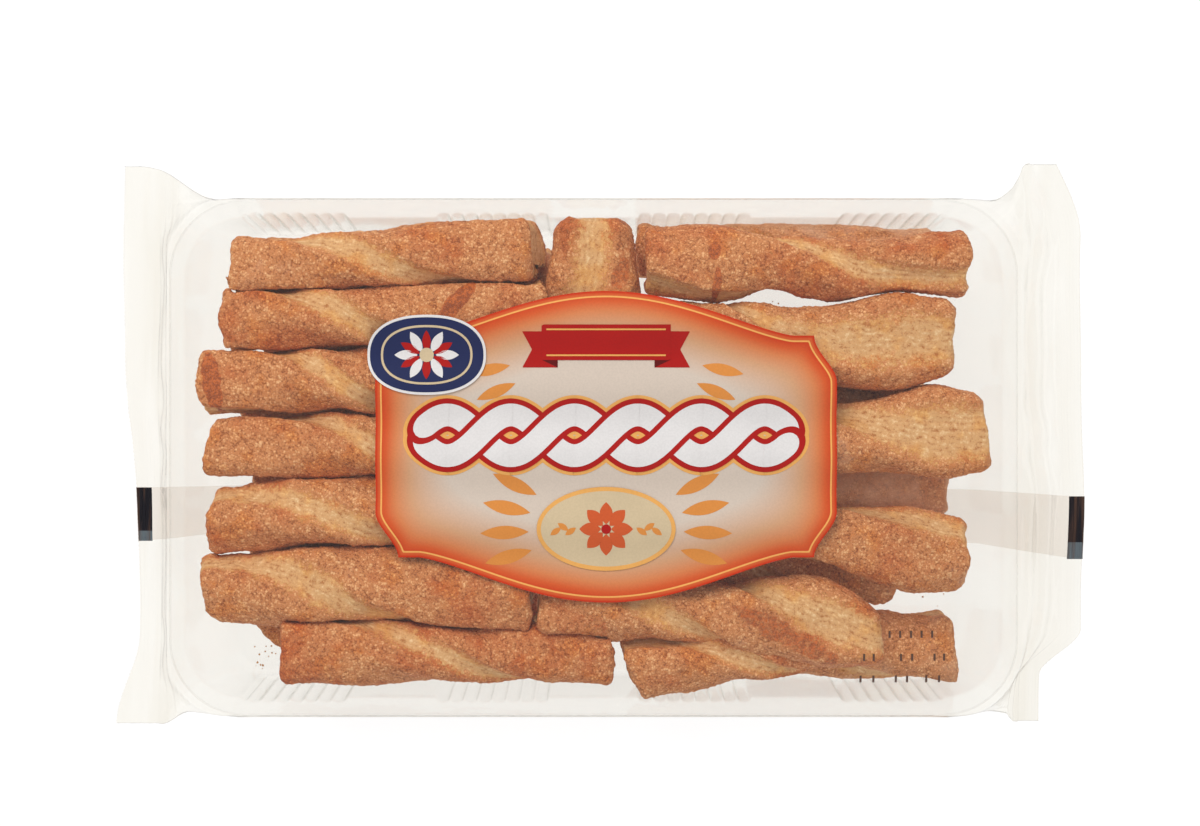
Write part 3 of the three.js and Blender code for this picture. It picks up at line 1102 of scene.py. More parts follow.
def strip_points(twist, grid):
    """The twisted strip before its fine relief, as (points, own coordinates, share through, face).
    Point = axis + p * width/2 * side + q * thickness/2 * up, where side and up turn about the axis by
    an angle that grows as a blend of a line and a smoothstep. Near the ends it is moved along the
    axis by shares of its offset from it, upward for the slant and sideways for the skew. Own
    coordinates are (along, p, q) in metres, in which the strip lies flat. Face is 1 on a cut face."""
    start, end = np.array(twist.start) * MM, np.array(twist.end) * MM
    axis_length = np.linalg.norm(end - start)
    way = (end - start) / axis_length
    level = np.cross((0, 0, 1), way)
    level /= np.linalg.norm(level)
    up = np.cross(way, level)
    seed = seed_of(twist)

    along, size = strip_rows(twist, grid[0], axis_length)
    u = along / axis_length
    p, q = strip_section(grid[1], np.mean(twist.width), np.mean(twist.thick))
    pinch = 1 - 0.035 * np.sin(math.pi * u)
    line = np.stack([along, 0 * u, 0 * u], axis=-1)
    half_width = profile(twist.width, u) * MM / 2 * pinch * (1 + 0.05 * lattice_noise(line, 17 * MM, seed))
    half_thick = profile(twist.thick, u) * MM / 2 * pinch
    half_thick = half_thick * (1 + 0.05 * lattice_noise(line, 21 * MM, seed + 1))
    turned = between(u, smooth(u, *twist.span), 0.8)
    angle = np.radians(between(*twist.turn, turned)) + 0.15 * lattice_noise(line, 26 * MM, seed + 2)

    across = p[None, :] * (half_width * size)[:, None]
    through = q[None, :] * (half_thick * size)[:, None]
    side = np.cos(angle)[:, None] * level + np.sin(angle)[:, None] * up
    top = -np.sin(angle)[:, None] * level + np.cos(angle)[:, None] * up
    bend = (profile(twist.bow, u) + 0.6 * lattice_noise(line, 30 * MM, seed + 3)) * MM
    axis = start + along[:, None] * way + bend[:, None] * level
    offset = across[..., None] * side[:, None, :] + through[..., None] * top[:, None, :]
    points = axis[:, None, :] + offset
    shear = twist.skew[0] * (1 - smooth(u, 0, 0.15)) + twist.skew[1] * smooth(u, 0.85, 1)
    lean = shear[:, None] * (offset @ level) - twist.slant * smooth(u, 0.9, 1)[:, None] * offset[..., 2]
    own = np.stack(np.broadcast_arrays(along[:, None], across, through), axis=-1)
    near_end = smooth(np.abs(u - 0.5), 0.46, 0.5) * np.sign(u - 0.5)
    ragged = 1.2 * MM * near_end[:, None] * layered_noise(own * (0.3, 1, 1), 6 * MM, seed + 4)
    points += (lean + ragged)[..., None] * way
    face = (1 - smooth(size, 0.5, 0.85))[:, None] * np.ones_like(across)
    return points, own, q[None, :] * size[:, None], face


def seed_of(twist):
    """A whole number of the twist's own, from its name's letters."""
    return 1 + sum((k + 1) * ord(letter) for k, letter in enumerate(twist.name)) % 977


def outward_normals(points):
    """Unit normals of a grid whose columns run round: the cross product of its two slopes."""
    along = np.gradient(points, axis=0)
    around = np.roll(points, -1, axis=1) - np.roll(points, 1, axis=1)
    normals = np.cross(around, along)
    return normals / np.maximum(np.linalg.norm(normals, axis=-1, keepdims=True), 1e-12)


def flank(twist, side, x):
    """Y of a twist's far (1) or near (-1) flank at x: the outermost point of each row of points."""
    rows = strip_points(twist, (60, 48))[0]
    return np.interp(x, rows[..., 0].mean(axis=1), side * (side * rows[..., 1]).max(axis=1))


def press_together(points, twist, by_name):
    """Flattens a twist where it meets a neighbour: past the line midway between their flanks, its
    points are held back by a rounded minimum, as far as the neighbour reaches."""
    x = points[..., 0]
    for first, second in NEIGHBOURS:
        if twist.name not in (first, second):
            continue
        is_first = twist.name == first
        other = by_name[second if is_first else first]
        line = (flank(by_name[first], -1, x) + flank(by_name[second], 1, x)) / 2
        near = smooth(x, (other.start[0] - 4) * MM, (other.start[0] + 2) * MM)
        near *= smooth(-x, -(other.end[0] + 4) * MM, -(other.end[0] - 2) * MM)
        y = points[..., 1]
        if is_first:
            held = rounded_max(y, line + TOUCH_GAP, TOUCH_ROUNDING)
        else:
            held = rounded_min(y, line - TOUCH_GAP, TOUCH_ROUNDING)
        points[..., 1] = between(y, held, near)
    return points


def press_flat(points, upper, gap, rounding):
    """Keeps a twist a gap under the film, or over the tray's base, by a rounded minimum or maximum."""
    if upper:
        ceiling = film_over(points[..., 0], points[..., 1]) - gap
        points[..., 2] = rounded_min(points[..., 2], ceiling, rounding)
    else:
        base = settings().tray.wall + TRAY_FOOT[-1].height * MM
        points[..., 2] = rounded_max(points[..., 2], base + gap, rounding)
    return points


def burnt_at(points, burns, seed):
    """How burnt each point is: the strongest of its burns, each 1 inside its ellipse and fading past
    its edge, which a noise makes uneven. Only what faces up is burnt."""
    total = np.zeros(points.shape[:-1])
    for burn in burns:
        turn = math.radians(burn.angle)
        x, y = points[..., 0] - burn.x * MM, points[..., 1] - burn.y * MM
        across = (x * math.cos(turn) + y * math.sin(turn)) / (burn.half_length * MM)
        upward = (y * math.cos(turn) - x * math.sin(turn)) / (burn.half_width * MM)
        reach = np.hypot(across, upward) + 0.35 * layered_noise(points, 3 * MM, seed)
        total = np.maximum(total, burn.strength * smooth(-reach, -1.15, -0.75))
    return total * smooth(points[..., 2], 22 * MM, 27 * MM)


def make_twist(twist, grid, by_name, material, upper):
    """One twist. Its relief, along the normal, is lumps, sugar grains and blisters on the crust,
    grooves between the layers on the bare sides, and a lip where the crust ends."""
    twists = settings().twists
    points, own, q, face = strip_points(twist, grid)
    points = press_flat(press_together(points, twist, by_name), upper, **BODY_PRESS)
    normals = outward_normals(points)
    seed = seed_of(twist)

    ragged = 0.14 * layered_noise(own, 5 * MM, seed + 10) + 0.1 * lattice_noise(own, 19 * MM, seed + 11)
    bare = between(between(*twist.bare, own[..., 0] / own[..., 0].max()), 0.86, face) + ragged
    crust = smooth(np.abs(q) - bare, -0.4, 0.25)
    gap, luck = grain_field(own, twists.grain, seed + 20)
    grains = np.clip(1 - 1.1 * gap, 0, 1) * between(0.35, 1, luck)
    waver = layered_noise(own * (0.5, 1, 1), 5 * MM, seed + 30)
    layers = (own[..., 2] + 2.4 * MM * waver) / twists.layer_pitch
    flakes = np.abs(np.sin(math.pi * layers)) * between(0.6, 1, lattice_noise(own, 5 * MM, seed + 40))
    lumps = layered_noise(own, 12 * MM, seed + 50)
    blisters = np.clip(layered_noise(own, 4.5 * MM, seed + 60), 0, 1)
    lip = np.exp(-(((np.abs(q) - bare - 0.1) / 0.1) ** 2)) * (1 - face)
    relief = twists.lumps * lumps * (1 - 0.6 * face) - 0.5 * twists.grain_height
    relief += (twists.grain_height * grains + twists.blister * blisters) * crust + twists.lip * lip
    relief += (twists.layer_depth * flakes + 0.3 * twists.blister * blisters - 0.9 * MM) * (1 - crust)
    points = press_flat(points + relief[..., None] * normals, upper, **SKIN_PRESS)

    # How toasted the crust is; the low values of the lower layer paint it paler as painted light.
    toast = 0.5 + twist.toast + 0.5 * layered_noise(own, 22 * MM, seed + 70)
    burnt = burnt_at(points, twist.burns, seed + 80)
    poles = points[[0, -1]].mean(axis=1)
    rows, columns = points.shape[:2]
    numbers = {"crust": crust, "grain": gap, "layer": own[..., 2] / MM / 6, "toast": toast, "burnt": burnt}
    numbers = {key: np.append(values, values[[0, -1], 0]) for key, values in numbers.items()}
    last = np.arange(columns) + (rows - 1) * columns
    faces = [
        grid_faces(rows, columns, True),
        fan_faces(rows * columns, np.arange(columns)[::-1]),
        fan_faces(rows * columns + 1, last),
    ]
    mesh = make_mesh(twist.name, np.concatenate([points.reshape(-1, 3), poles]), faces, numbers)
    return make_piece("twist_" + twist.name, mesh, material)


# ---- Print -------------------------------------------------------------------------------------
#
# The tables of the print are in millimetres from the plaque's middle, and their turns in degrees.


def drape(flat, layer):
    """Lays flat points of the print on the film, as many layers of ink up as given."""
    sizes = settings().print
    height = film_over(flat[..., 0], flat[..., 1]) + sizes.lift + layer * sizes.ink
    return np.concatenate([flat, height[..., None]], axis=-1)


def on_plaque(flat):
    """Points in millimetres from the plaque's middle, as metres in the pack's frame."""
    sizes = settings().print
    return np.array(flat, float) * MM + (sizes.middle_x, sizes.middle_y)


def even_loop(outline, count):
    """A closed outline, stepped evenly by arc length."""
    closed = np.concatenate([outline, outline[:1]])
    walked = np.concatenate([[0], np.cumsum(np.linalg.norm(np.diff(closed, axis=0), axis=1))])
    stops = np.linspace(0, walked[-1], count + 1)[:-1]
    return np.stack([np.interp(stops, walked, closed[:, k]) for k in range(2)], axis=-1)


def patch(outline, parts=(1, 0.8, 0.6, 0.4, 0.2)):
    """A patch of print inside an outline, as flat points and face sets: the outline, scaled copies
    of it about its middle, and the middle itself."""
    middle = outline.mean(axis=0)
    flat = np.concatenate([*[middle + (outline - middle) * part for part in parts], middle[None]])
    count = len(outline)
    last = np.arange(count) + (len(parts) - 1) * count
    return flat, [grid_faces(len(parts), count, True), fan_faces(len(flat) - 1, last)]


def strip(centre, half_width, rows=5):
    """A strip of print along a centre line, as flat points and face sets: the line, moved sideways
    along its normals by shares of the half width."""
    slope = np.gradient(centre, axis=0)
    slope /= np.linalg.norm(slope, axis=1, keepdims=True)
    sideways = np.stack([-slope[:, 1], slope[:, 0]], axis=-1)
    sideways = sideways * np.broadcast_to(half_width, len(centre))[:, None]
    flat = centre + np.linspace(-1, 1, rows)[:, None, None] * sideways
    return flat.reshape(-1, 2), [grid_faces(rows, len(centre), False)]


def make_print(name, shapes, layer, material, attributes=None):
    """One piece of print from flat shapes, draped over the film."""
    flats, face_sets, start = [], [], 0
    for flat, faces in shapes:
        flats.append(flat)
        face_sets += [part + start for part in faces]
        start += len(flat)
    mesh = make_mesh(name, drape(np.concatenate(flats), layer), face_sets, attributes)
    return make_piece(name, mesh, material)


def turned_about(x, y, across, upward, turn):
    """Points across and upward of (x, y), turned about it by degrees, all in millimetres."""
    cos, sin = math.cos(math.radians(turn)), math.sin(math.radians(turn))
    return on_plaque(np.stack([x + across * cos - upward * sin, y + across * sin + upward * cos], axis=-1))


def oval(x, y, half_length, half_height, count=160, squareness=2.0, turn=0.0):
    """A superellipse round (x, y), counterclockwise and turned by degrees. All in millimetres."""
    angles = np.linspace(0, math.tau, count, endpoint=False)
    power = 2 / squareness
    across = half_length * np.sign(np.cos(angles)) * np.abs(np.cos(angles)) ** power
    upward = half_height * np.sign(np.sin(angles)) * np.abs(np.sin(angles)) ** power
    return turned_about(x, y, across, upward, turn)


def leaf(x, y, half_length, half_height, turn, count=48):
    """A pointed leaf round (x, y): its half height is a squared sine of the way along it."""
    angles = np.linspace(0, math.tau, count, endpoint=False)
    upward = half_height * np.sign(np.sin(angles)) * np.sin(angles) ** 2
    return turned_about(x, y, half_length * np.cos(angles), upward, turn)


def corners_loop(corners):
    """A counterclockwise outline through corners in millimetres from the plaque's middle."""
    return on_plaque(even_loop(np.array(corners, float), 96))


PLAQUE_POINTS = 640
PLAQUE_PARTS = np.concatenate([np.linspace(1, 0.92, 18), np.linspace(0.92, 0.02, 26)[1:]])


def plaque_outline():
    """The plaque's outline. From the middle of the top: an arch, which is a power of a raised cosine,
    a short level shoulder, a scooped corner, which is a smoothstep, and half the straight end. The
    other three quarters are its mirror images."""
    sizes = settings().print
    part = np.linspace(0, 1, 60)
    corner = sizes.half_length - sizes.notch
    rise = (0.5 + 0.5 * np.cos(math.pi * part)) ** 0.65 * (sizes.half_height - sizes.shoulder)
    arch = np.stack([0.9 * corner * part, sizes.shoulder + rise], axis=-1)
    scoop_x = corner + sizes.notch * smooth(part, 0, 1)
    scoop = np.stack([scoop_x, between(sizes.shoulder, sizes.side, part)], axis=-1)
    quarter = np.concatenate([arch, scoop, [[sizes.half_length, 0]]])
    right = np.concatenate([quarter, quarter[-2::-1] * (1, -1)])
    loop = np.concatenate([right, right[-2:0:-1] * (-1, 1)])[::-1]
    return even_loop(loop, PLAQUE_POINTS) + (sizes.middle_x, sizes.middle_y)


def edge_distances(flat, outline):
    """For each point, its distance from an outline, and a distance without creases: the power mean
    (2/pi * sum of steps / distance^4)^(-1/3), which is the true distance beside a straight edge."""
    fine = even_loop(outline, 4 * len(outline))
    step = np.linalg.norm(fine[1] - fine[0])
    nearest, soft = [], []
    for part in np.array_split(flat, 60):
        distance = np.linalg.norm(part[:, None, :] - fine[None, :, :], axis=-1)
        nearest.append(distance.min(axis=1))
        distance = np.maximum(distance, 0.3 * MM)
        soft.append((2 / math.pi * step * (distance**-4.0).sum(axis=1)) ** (-1 / 3))
    return np.concatenate(nearest), np.concatenate(soft)


def plaque_colour(tree):
    """The plaque's colours: by distance from its edge a red border and a thin gold line, and by the
    soft distance an orange that fades through sand to pearl."""
    colours = settings().colours
    inset = reading(tree, "inset")
    depth = weighted(tree, (reading(tree, "depth"), 1 / 40), (noise(tree, 45 * MM, 1), 0.08), -0.04)
    stops = [
        (0.02, colours.ink_red),
        (0.085, colours.ink_orange),
        (0.15, colours.ink_peach),
        (0.26, colours.ink_sand),
        (0.5, colours.ink_pearl),
    ]
    bordered = mixed(tree, stretch(tree, inset, 2.1, 1.9), ramp(tree, depth, stops), colours.gold)
    edge = mixed(tree, stretch(tree, inset, 1.2, 0.2), colours.ink_orange, colours.ink_red)
    return mixed(tree, stretch(tree, inset, 1.6, 1.4), bordered, edge)


def make_plaque():
    """The plaque, whose points keep their distances from its edge in millimetres."""
    outline = plaque_outline()
    shape = patch(outline, PLAQUE_PARTS)
    inset, depth = edge_distances(shape[0], outline)
    numbers = {"inset": inset / MM, "depth": depth / MM}
    make_print("plaque", [shape], 0, ink_material("print_plaque", plaque_colour), numbers)


def make_inks():
    """One material for each ink."""
    colours = settings().colours
    names = ("gold", "amber", "ribbon", "ribbon_deep", "ivory", "white", "navy", "ink_orange")
    return {name: plain_ink("print_" + name, getattr(colours, name)) for name in names}


BRAID_HALF_LENGTH = 59.0
BRAID_HEIGHT = 3.5
BRAID_SWING = 6.3
BRAID_CROSSINGS = 7
BRAID_HALF_WIDTH = 3.5
BRAID_OUTLINES = [("gold", 2.6), ("ribbon", 1.6), ("white", 0.0)]


def braid_strand(number, crossing, margin):
    """The stretch of one strand round one crossing, as a strip. Strands are sines of x, half a wave
    apart, and have round tips where they start and stop."""
    spacing = 2 * BRAID_HALF_LENGTH / (BRAID_CROSSINGS - 1)
    middle = -BRAID_HALF_LENGTH + crossing * spacing
    reach = BRAID_HALF_LENGTH + margin
    half = spacing / 2 + 0.4
    x = np.linspace(max(middle - half, -reach), min(middle + half, reach), 48)
    y = BRAID_HEIGHT + BRAID_SWING * np.sin(math.pi * (x + BRAID_HALF_LENGTH) / spacing + math.pi * number)
    tip = np.clip((reach - np.abs(x)) / (BRAID_HALF_WIDTH + margin), 0, 1)
    half_width = (BRAID_HALF_WIDTH + margin) * np.sqrt(1 - (1 - tip) ** 2) + 0.02
    return strip(on_plaque(np.stack([x, y], axis=-1)), half_width * MM)


def make_braid(inks):
    """Two strands twisted round each other across the plaque, white with dark and gold outlines.
    At each crossing one strand's stretch lies on top, and at the next the other's."""
    crossings = range(BRAID_CROSSINGS)
    under = [(1 - crossing % 2, crossing) for crossing in crossings]
    over = [(crossing % 2, crossing) for crossing in crossings]
    halo = [braid_strand(*which, BRAID_OUTLINES[0][1]) for which in under + over]
    make_print("braid_halo", halo, 2, inks["gold"])
    for label, stretches, first_layer in (("under", under, 3), ("over", over, 5)):
        for step, (ink, margin) in enumerate(BRAID_OUTLINES[1:]):
            shapes = [braid_strand(*which, margin) for which in stretches]
            make_print(f"braid_{label}_{ink}", shapes, first_layer + step, inks[ink])


MEDALLION = (0.0, -25.5)
MEDALLION_HALF = (21.5, 13.0)
MEDALLION_RING = 1.3
PETAL_TURNS = np.arange(8) * 45.0


def ring_of_leaves(x, y, reach, size, turns, flatten=1.0):
    """Leaves that point away from (x, y), one for each turn in degrees, as patches."""
    angles = np.radians(turns)
    places = zip(x + reach * np.cos(angles), y + flatten * reach * np.sin(angles))
    return [patch(leaf(*place, *size, turn)) for place, turn in zip(places, turns)]


def make_medallion(inks):
    """An ivory oval with a gold rim, a flower of eight petals and a spray of leaves at each side."""
    x, y = MEDALLION
    half_length, half_height = MEDALLION_HALF
    make_print("medallion_rim", [patch(oval(x, y, half_length, half_height))], 7, inks["gold"])
    face = oval(x, y, half_length - MEDALLION_RING, half_height - MEDALLION_RING)
    make_print("medallion_face", [patch(face)], 8, inks["ivory"])
    petals = ring_of_leaves(x, y, 4.9, (3.4, 2.0), PETAL_TURNS)
    make_print("flower_petals", petals, 9, inks["ink_orange"])
    make_print("flower_middle", [patch(oval(x, y, 1.5, 1.5, 40))], 10, inks["ribbon"])
    sprays = [
        patch(leaf(x + side * (11 + 2.3 * step), y + lift, 2.0, 0.9, side * 50 * lift))
        for side in (-1, 1)
        for step, lift in enumerate((-0.7, 0.7, -0.7))
    ]
    make_print("medallion_sprays", sprays, 9, inks["amber"])


# Each fan's name, the Y of its centre, its reach, its rays' half length and half width, their turns.
FANS = [
    ("fans_low", -25.5, 31.5, (7.5, 2.1), (-16, -2, 12, 26)),
    ("fans_high", 31.5, 37.0, (6.5, 1.8), (-34, -23, -12)),
]


def make_fans(inks):
    """Fans of amber rays at both sides of the medallion and of the ribbon, each mirrored to the
    left."""
    for name, y, reach, size, turns in FANS:
        both = [*turns, *(180 - turn for turn in turns)]
        make_print(name, ring_of_leaves(0, y, reach, size, both), 1, inks["amber"])


RIBBON_Y = 31.5
RIBBON_TAIL = [(15, -7.0), (26, -7.0), (23, -1.4), (26, 4.2), (15, 4.2)]
RIBBON_CREASE = [(15, -7.0), (20, -4.6), (15, -4.6)]
RIBBON_BODY = [(-20, -4.7), (20, -4.7), (20, 6.3), (-20, 6.3)]


def make_ribbon(inks):
    """A bare ribbon: a flat middle, with a swallow-tailed end folded behind it at each side."""
    for name, corners, ink, layer in (
        ("ribbon_tails", RIBBON_TAIL, "ribbon", 2),
        ("ribbon_creases", RIBBON_CREASE, "ribbon_deep", 3),
    ):
        sides = [[(side * a, RIBBON_Y + b) for a, b in corners][::side] for side in (-1, 1)]
        make_print(name, [patch(corners_loop(placed)) for placed in sides], layer, inks[ink])
    body = [(a, RIBBON_Y + b) for a, b in RIBBON_BODY]
    make_print("ribbon_body", [patch(corners_loop(body))], 4, inks["ribbon"])
    x = np.linspace(-18.5, 18.5, 12)
    rows = [np.stack([x, RIBBON_Y + b + 0 * x], axis=-1) for b in (-3.2, 4.8)]
    make_print("ribbon_lines", [strip(on_plaque(row), 0.25 * MM) for row in rows], 5, inks["gold"])


BADGE = (-55.6, 28.4)
RAY_TURNS = np.arange(12) * 30.0


def make_badge(inks):
    """A navy badge over the plaque's corner, with an ivory ring and a star of red and white rays."""
    x, y = BADGE
    ovals = [
        ("edge", 18.4, 12.4, "white"),
        ("field", 17.6, 11.6, "navy"),
        ("ring", 14.2, 9.2, "ivory"),
        ("middle", 13.5, 8.5, "navy"),
    ]
    for layer, (name, half_length, half_height, ink) in enumerate(ovals):
        outline = oval(x, y, half_length, half_height, squareness=2.3)
        make_print("badge_" + name, [patch(outline)], 11 + layer, inks[ink])
    white = ring_of_leaves(x, y, 6.4, (3.6, 1.5), RAY_TURNS[::2], 0.72)
    red = ring_of_leaves(x, y, 5.8, (3.4, 1.3), RAY_TURNS[1::2], 0.72)
    make_print("badge_rays_white", white, 15, inks["white"])
    make_print("badge_rays_red", red, 15, inks["ribbon"])
    make_print("badge_hub", [patch(oval(x, y, 2.2, 2.2, 48))], 16, inks["ivory"])


# The date's rows: their Y and the X of their dashes, in millimetres from the pack's origin.
CODE_ROWS = [
    (-58.9, (90, 93.3, 96.7, 100, 103.3)),
    (-66.0, (82, 85, 93.5, 97, 104, 107)),
    (-72.8, (81, 85, 92, 95.5, 101.5, 105.5)),
]
DASH_HALF_WIDTH, DASH_HALF_HEIGHT = 0.35, 1.1


def make_code():
    """The place of the printed date: rows of short plain dashes."""
    upward = np.array([(0, -DASH_HALF_HEIGHT), (0, 0), (0, DASH_HALF_HEIGHT)])
    spots = [(x, y) for y, places in CODE_ROWS for x in places]
    dashes = [strip((upward + spot) * MM, DASH_HALF_WIDTH * MM, 3) for spot in spots]
    make_print("date_dashes", dashes, 1, plain_ink("print_code", settings().colours.code))


# ---- Seam, marks and crumbs --------------------------------------------------------------------

# The Y in millimetres of the back seam's far and near edges, at stops along the pack.
SEAM_STOPS = (-150, -125, 125, 155)
SEAM_FAR = (-14, -14.3, -15.5, -17)
SEAM_NEAR = (-31.5, -29.8, -33.3, -37.3)
SEAM_COLUMNS = 7
SEAM_LIFT = 0.22 * MM
SEAM_GLOSS = (0.04, 0.75)


def make_seam():
    """The back seam: a second layer of film along the underside, following its height. Its edges
    are straight lines from stop to stop along the pack."""
    places = film_places()
    along = film_sheets(places, np.full(len(places), SEAM_FAR[0] * MM))[0] / MM
    far, near = (np.interp(along, SEAM_STOPS, stops)[:, None] for stops in (SEAM_FAR, SEAM_NEAR))
    y = between(near, far, np.linspace(0, 1, SEAM_COLUMNS)) * MM
    x, _, bottom = film_sheets(np.broadcast_to(places[:, None], y.shape), y)
    points = np.stack([x, y, bottom + SEAM_LIFT], axis=-1)
    faces = grid_faces(len(places), SEAM_COLUMNS, False)
    mesh = make_mesh("back_seam", points.reshape(-1, 3), [faces])
    colours = settings().colours
    tints = (colours.seam, colours.seam, colours.film_edge)
    material = clear_material("seam_film", tints, SEAM_GLOSS, 0.12, 5 * MM, 0.3 * MM)
    return make_piece("back_seam", mesh, material)


# Each mark's name, its end of the pack, its places along it, its Y in millimetres, and its ink.
MARKS = [
    ("mark_left", -1, (2.33, 2.97), (-28.2, -14.2), "black"),
    ("mark_left_end", -1, (2.33, 2.97), (-31.5, -28.2), "grey"),
    ("mark_right", 1, (2.2, 2.98), (-31.8, -16.9), "black"),
    ("mark_right_end", 1, (2.2, 2.98), (-37.3, -31.8), "grey"),
]
MARK_GRID = (40, 18)
MARK_LIFT = 0.15 * MM


def streaked_ink(name):
    """Ink of one of the colours, with streaks of another across the pack where the film is crimped."""
    colours = settings().colours

    def colour_of(tree):
        return mixed(tree, reading(tree, "streaks"), getattr(colours, name), colours.streak)

    return ink_material("print_" + name, colour_of)


def make_marks():
    """The dark registration marks that are printed on the seals, paler where the film is single.
    Their streaks are a noise of x."""
    inks = {name: streaked_ink(name) for name in ("black", "grey")}
    for name, end, reach, spread, ink in MARKS:
        places = end * np.linspace(*reach, MARK_GRID[0])
        place, y = np.meshgrid(places, np.linspace(*spread, MARK_GRID[1]) * MM, indexing="ij")
        x, top, _ = film_sheets(place, y)
        points = np.stack([x, y, top + MARK_LIFT], axis=-1)
        streaks = np.clip(layered_noise(points * (1, 0.06, 0), 0.9 * MM, 61), 0, 1)
        faces = grid_faces(*MARK_GRID, False)[:, ::-end]
        mesh = make_mesh(name, points.reshape(-1, 3), [faces], {"streaks": streaks})
        make_piece(name, mesh, inks[ink])


# Where crumbs lie, as X and Y in millimetres, and how many.
CRUMB_SPOTS = [
    (-113, -71.5, 9),
    (-108, -69, 5),
    (127.5, 9.4, 2),
    (-126, -38, 3),
    (112, -52, 3),
    (60, 47, 3),
]
CRUMB_ROWS, CRUMB_COLUMNS = 7, 8


def make_crumbs(material):
    """Crumbs on the tray's base: rounded lumps of a few dozen faces, a few round each spot."""
    rng = np.random.default_rng(5)
    spots = [np.array(spot[:2]) + rng.normal(0, 2.2, (spot[2], 2)) for spot in CRUMB_SPOTS]
    places = np.concatenate(spots) * MM
    down = np.linspace(0, math.pi, CRUMB_ROWS)
    turns = np.linspace(0, math.tau, CRUMB_COLUMNS + 1)[:-1]
    polar, around = np.meshgrid(down, turns, indexing="ij")
    level = np.sin(polar)
    ball = np.stack([level * np.cos(around), level * np.sin(around), np.cos(polar)], axis=-1)
    radius = rng.uniform(0.12, 0.4, (len(places), 1, 1, 1)) * MM
    lumpy = ball * radius * rng.uniform(0.75, 1.2, (len(places), CRUMB_ROWS, CRUMB_COLUMNS, 1))
    lumpy[:, [0, -1]] = lumpy[:, [0, -1]].mean(axis=2, keepdims=True)
    height = 1.8 * MM + radius[:, 0, 0, 0]
    centres = np.concatenate([places, height[:, None]], axis=-1)
    points = (lumpy + centres[:, None, None, :]).reshape(-1, 3)
    one = grid_faces(CRUMB_ROWS, CRUMB_COLUMNS, True)
    faces = np.concatenate([one + ball.size // 3 * number for number in range(len(places))])
    mesh = close_mesh(make_mesh("crumbs", points, [faces]))
    return make_piece("crumbs", mesh, material)


# ---- Stage -------------------------------------------------------------------------------------

GROUND_DROP = 0.2 * MM
KEY_PLACE, KEY_SIZE = (-0.35, 0.85, 1.0), 0.8
FILL_PLACE, FILL_SIZE = (0.5, -0.6, 1.3), 1.2
CLEAR_SHEETS = 32


def make_ground():
    """A square of pale ground with a faint unevenness, lit from below like a light table."""
    stage, colours = settings().stage, settings().colours
    half = stage.ground / 2
    points = np.array([(-half, -half, 0), (half, -half, 0), (half, half, 0), (-half, half, 0)])
    mesh = make_mesh("ground", points - (0, 0, GROUND_DROP), [np.array([[0, 1, 2, 3]])])
    material, tree, output = new_material("pale_ground")
    tone = stretch(tree, noise(tree, 60 * MM, 2), 0.3, 0.7, 0.99, 1.0)
    base = node(tree, "ShaderNodeVectorMath", {0: colours.floor, 1: tone}, operation="MULTIPLY").outputs[0]
    shader = node(tree, "ShaderNodeBsdfPrincipled", {"Base Color": base, "Roughness": 0.9})
    shader.inputs["Specular IOR Level"].default_value = 0.1
    shader.inputs["Emission Color"].default_value = (1, 1, 1, 1)
    shader.inputs["Emission Strength"].default_value = stage.ground_glow
    tree.links.new(shader.outputs[0], output.inputs["Surface"])
    ground = bpy.data.objects.new("ground", mesh)
    bpy.context.scene.collection.objects.link(ground)
    mesh.materials.append(material)


def make_lamp(name, place, size, power):
    """A square area lamp that shines at the pack's middle and isn't mirrored in the film."""
    lamp = bpy.data.lights.new(name, "AREA")
    lamp.size = size
    lamp.energy = power
    holder = bpy.data.objects.new(name, lamp)
    bpy.context.scene.collection.objects.link(holder)
    holder.location = place
    away = np.array(place) / np.linalg.norm(place)
    holder.rotation_euler = (math.acos(away[2]), 0, math.atan2(away[0], -away[1]))
    holder.visible_glossy = False


def make_camera():
    """A camera straight over the pack, looking down, with the top of the picture towards +Y."""
    stage = settings().stage
    camera = bpy.data.cameras.new("camera")
    camera.lens = stage.lens
    camera.sensor_width = 36
    holder = bpy.data.objects.new("camera", camera)
    bpy.context.scene.collection.objects.link(holder)
    holder.location = (0, stage.camera_y, stage.camera_height)
    bpy.context.scene.camera = holder


def make_surroundings():
    """White surroundings that are dimmer at the horizon, plain colours, and enough light paths for
    the stacked clear sheets."""
    scene, stage = bpy.context.scene, settings().stage
    scene.world = bpy.data.worlds.new("surroundings")
    scene.world.use_nodes = True
    tree = scene.world.node_tree
    direction = node(tree, "ShaderNodeTexCoord").outputs["Generated"]
    height = node(tree, "ShaderNodeSeparateXYZ", {"Vector": direction}).outputs["Z"]
    strength = stretch(tree, height, 0.2, 0.98, stage.horizon, stage.zenith)
    tree.links.new(strength, tree.nodes["Background"].inputs["Strength"])
    tree.nodes["Background"].inputs["Color"].default_value = (1, 1, 1, 1)
    scene.view_settings.view_transform = "Standard"
    scene.cycles.transparent_max_bounces = CLEAR_SHEETS


# ---- Operators ---------------------------------------------------------------------------------


class PASTRY_OT_film(Operator):
    """Makes the clear film"""

    bl_idname = "pastry_pack.film"
    bl_label = "Film"

    def execute(self, context):
        make_film()
        return {"FINISHED"}


class PASTRY_OT_tray(Operator):
    """Makes the clear ribbed tray"""

    bl_idname = "pastry_pack.tray"
    bl_label = "Tray"

    def execute(self, context):
        make_tray()
        return {"FINISHED"}


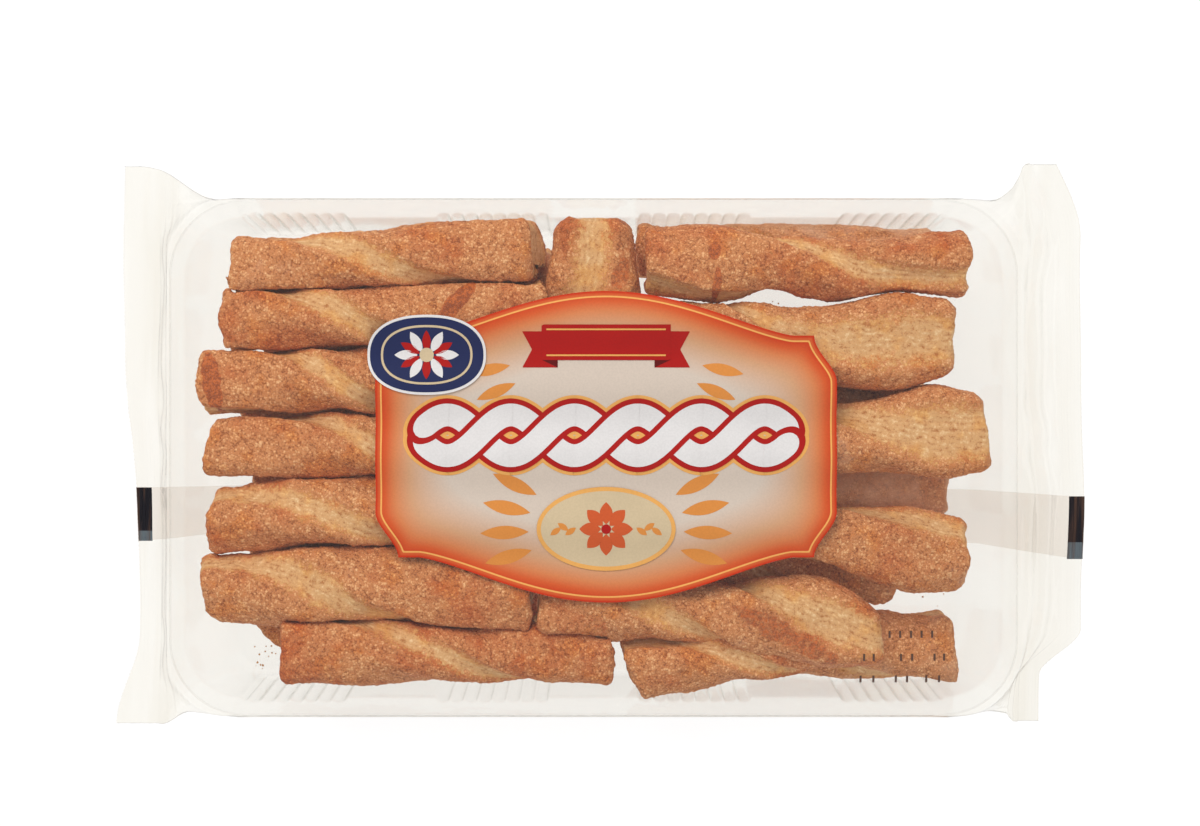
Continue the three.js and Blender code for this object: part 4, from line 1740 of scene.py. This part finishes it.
class PASTRY_OT_twists(Operator):
    """Makes both layers of pastry twists, and the crumbs"""

    bl_idname = "pastry_pack.twists"
    bl_label = "Twists"

    def execute(self, context):
        material = pastry_material()
        by_name = {twist.name: twist for twist in UPPER_TWISTS + LOWER_TWISTS}
        for twist in UPPER_TWISTS:
            make_twist(twist, FINE_GRID, by_name, material, True)
        for twist in LOWER_TWISTS:
            make_twist(twist, COARSE_GRID, by_name, material, False)
        make_crumbs(material)
        return {"FINISHED"}


class PASTRY_OT_print(Operator):
    """Makes the printed plaque, its ornaments, the badge and the date's dashes"""

    bl_idname = "pastry_pack.print"
    bl_label = "Print"

    def execute(self, context):
        inks = make_inks()
        make_plaque()
        for make in (make_fans, make_braid, make_medallion, make_ribbon, make_badge):
            make(inks)
        make_code()
        return {"FINISHED"}


class PASTRY_OT_seam(Operator):
    """Makes the back seam and the registration marks"""

    bl_idname = "pastry_pack.seam"
    bl_label = "Seam and marks"

    def execute(self, context):
        make_seam()
        make_marks()
        return {"FINISHED"}


class PASTRY_OT_stage(Operator):
    """Makes the ground, the light and the camera"""

    bl_idname = "pastry_pack.stage"
    bl_label = "Stage"

    def execute(self, context):
        stage = settings().stage
        make_ground()
        make_lamp("key", KEY_PLACE, KEY_SIZE, stage.key_power)
        make_lamp("fill", FILL_PLACE, FILL_SIZE, stage.fill_power)
        make_camera()
        make_surroundings()
        return {"FINISHED"}


OPERATORS = [
    PASTRY_OT_film,
    PASTRY_OT_tray,
    PASTRY_OT_twists,
    PASTRY_OT_print,
    PASTRY_OT_seam,
    PASTRY_OT_stage,
]


class PASTRY_PT_panel(Panel):
    """Lists the operators and the sizes"""

    bl_idname = "PASTRY_PT_panel"
    bl_label = "Pastry Pack"
    bl_space_type = "VIEW_3D"
    bl_region_type = "UI"
    bl_category = "Pastry Pack"

    def draw(self, context):
        for operator in OPERATORS:
            self.layout.operator(operator.bl_idname)
        pack = context.scene.pastry_pack
        for group in (pack.tray, pack.film, pack.twists, pack.print, pack.colours, pack.stage):
            box = self.layout.box()
            for name in group.bl_rna.properties.keys():
                if name not in ("rna_type", "name"):
                    box.prop(group, name)


GROUPS = [TraySizes, FilmSizes, TwistSizes, PrintSizes, PackColours, StageSizes, PastryPack]


def register():
    for kind in [*GROUPS, *OPERATORS, PASTRY_PT_panel]:
        bpy.utils.register_class(kind)
    bpy.types.Scene.pastry_pack = PointerProperty(type=PastryPack)


def unregister():
    del bpy.types.Scene.pastry_pack
    for kind in reversed([*GROUPS, *OPERATORS, PASTRY_PT_panel]):
        bpy.utils.unregister_class(kind)


def main():
    register()
    for operator in OPERATORS:
        family, name = operator.bl_idname.split(".")
        getattr(getattr(bpy.ops, family), name)()


if __name__ == "__main__":
    main()
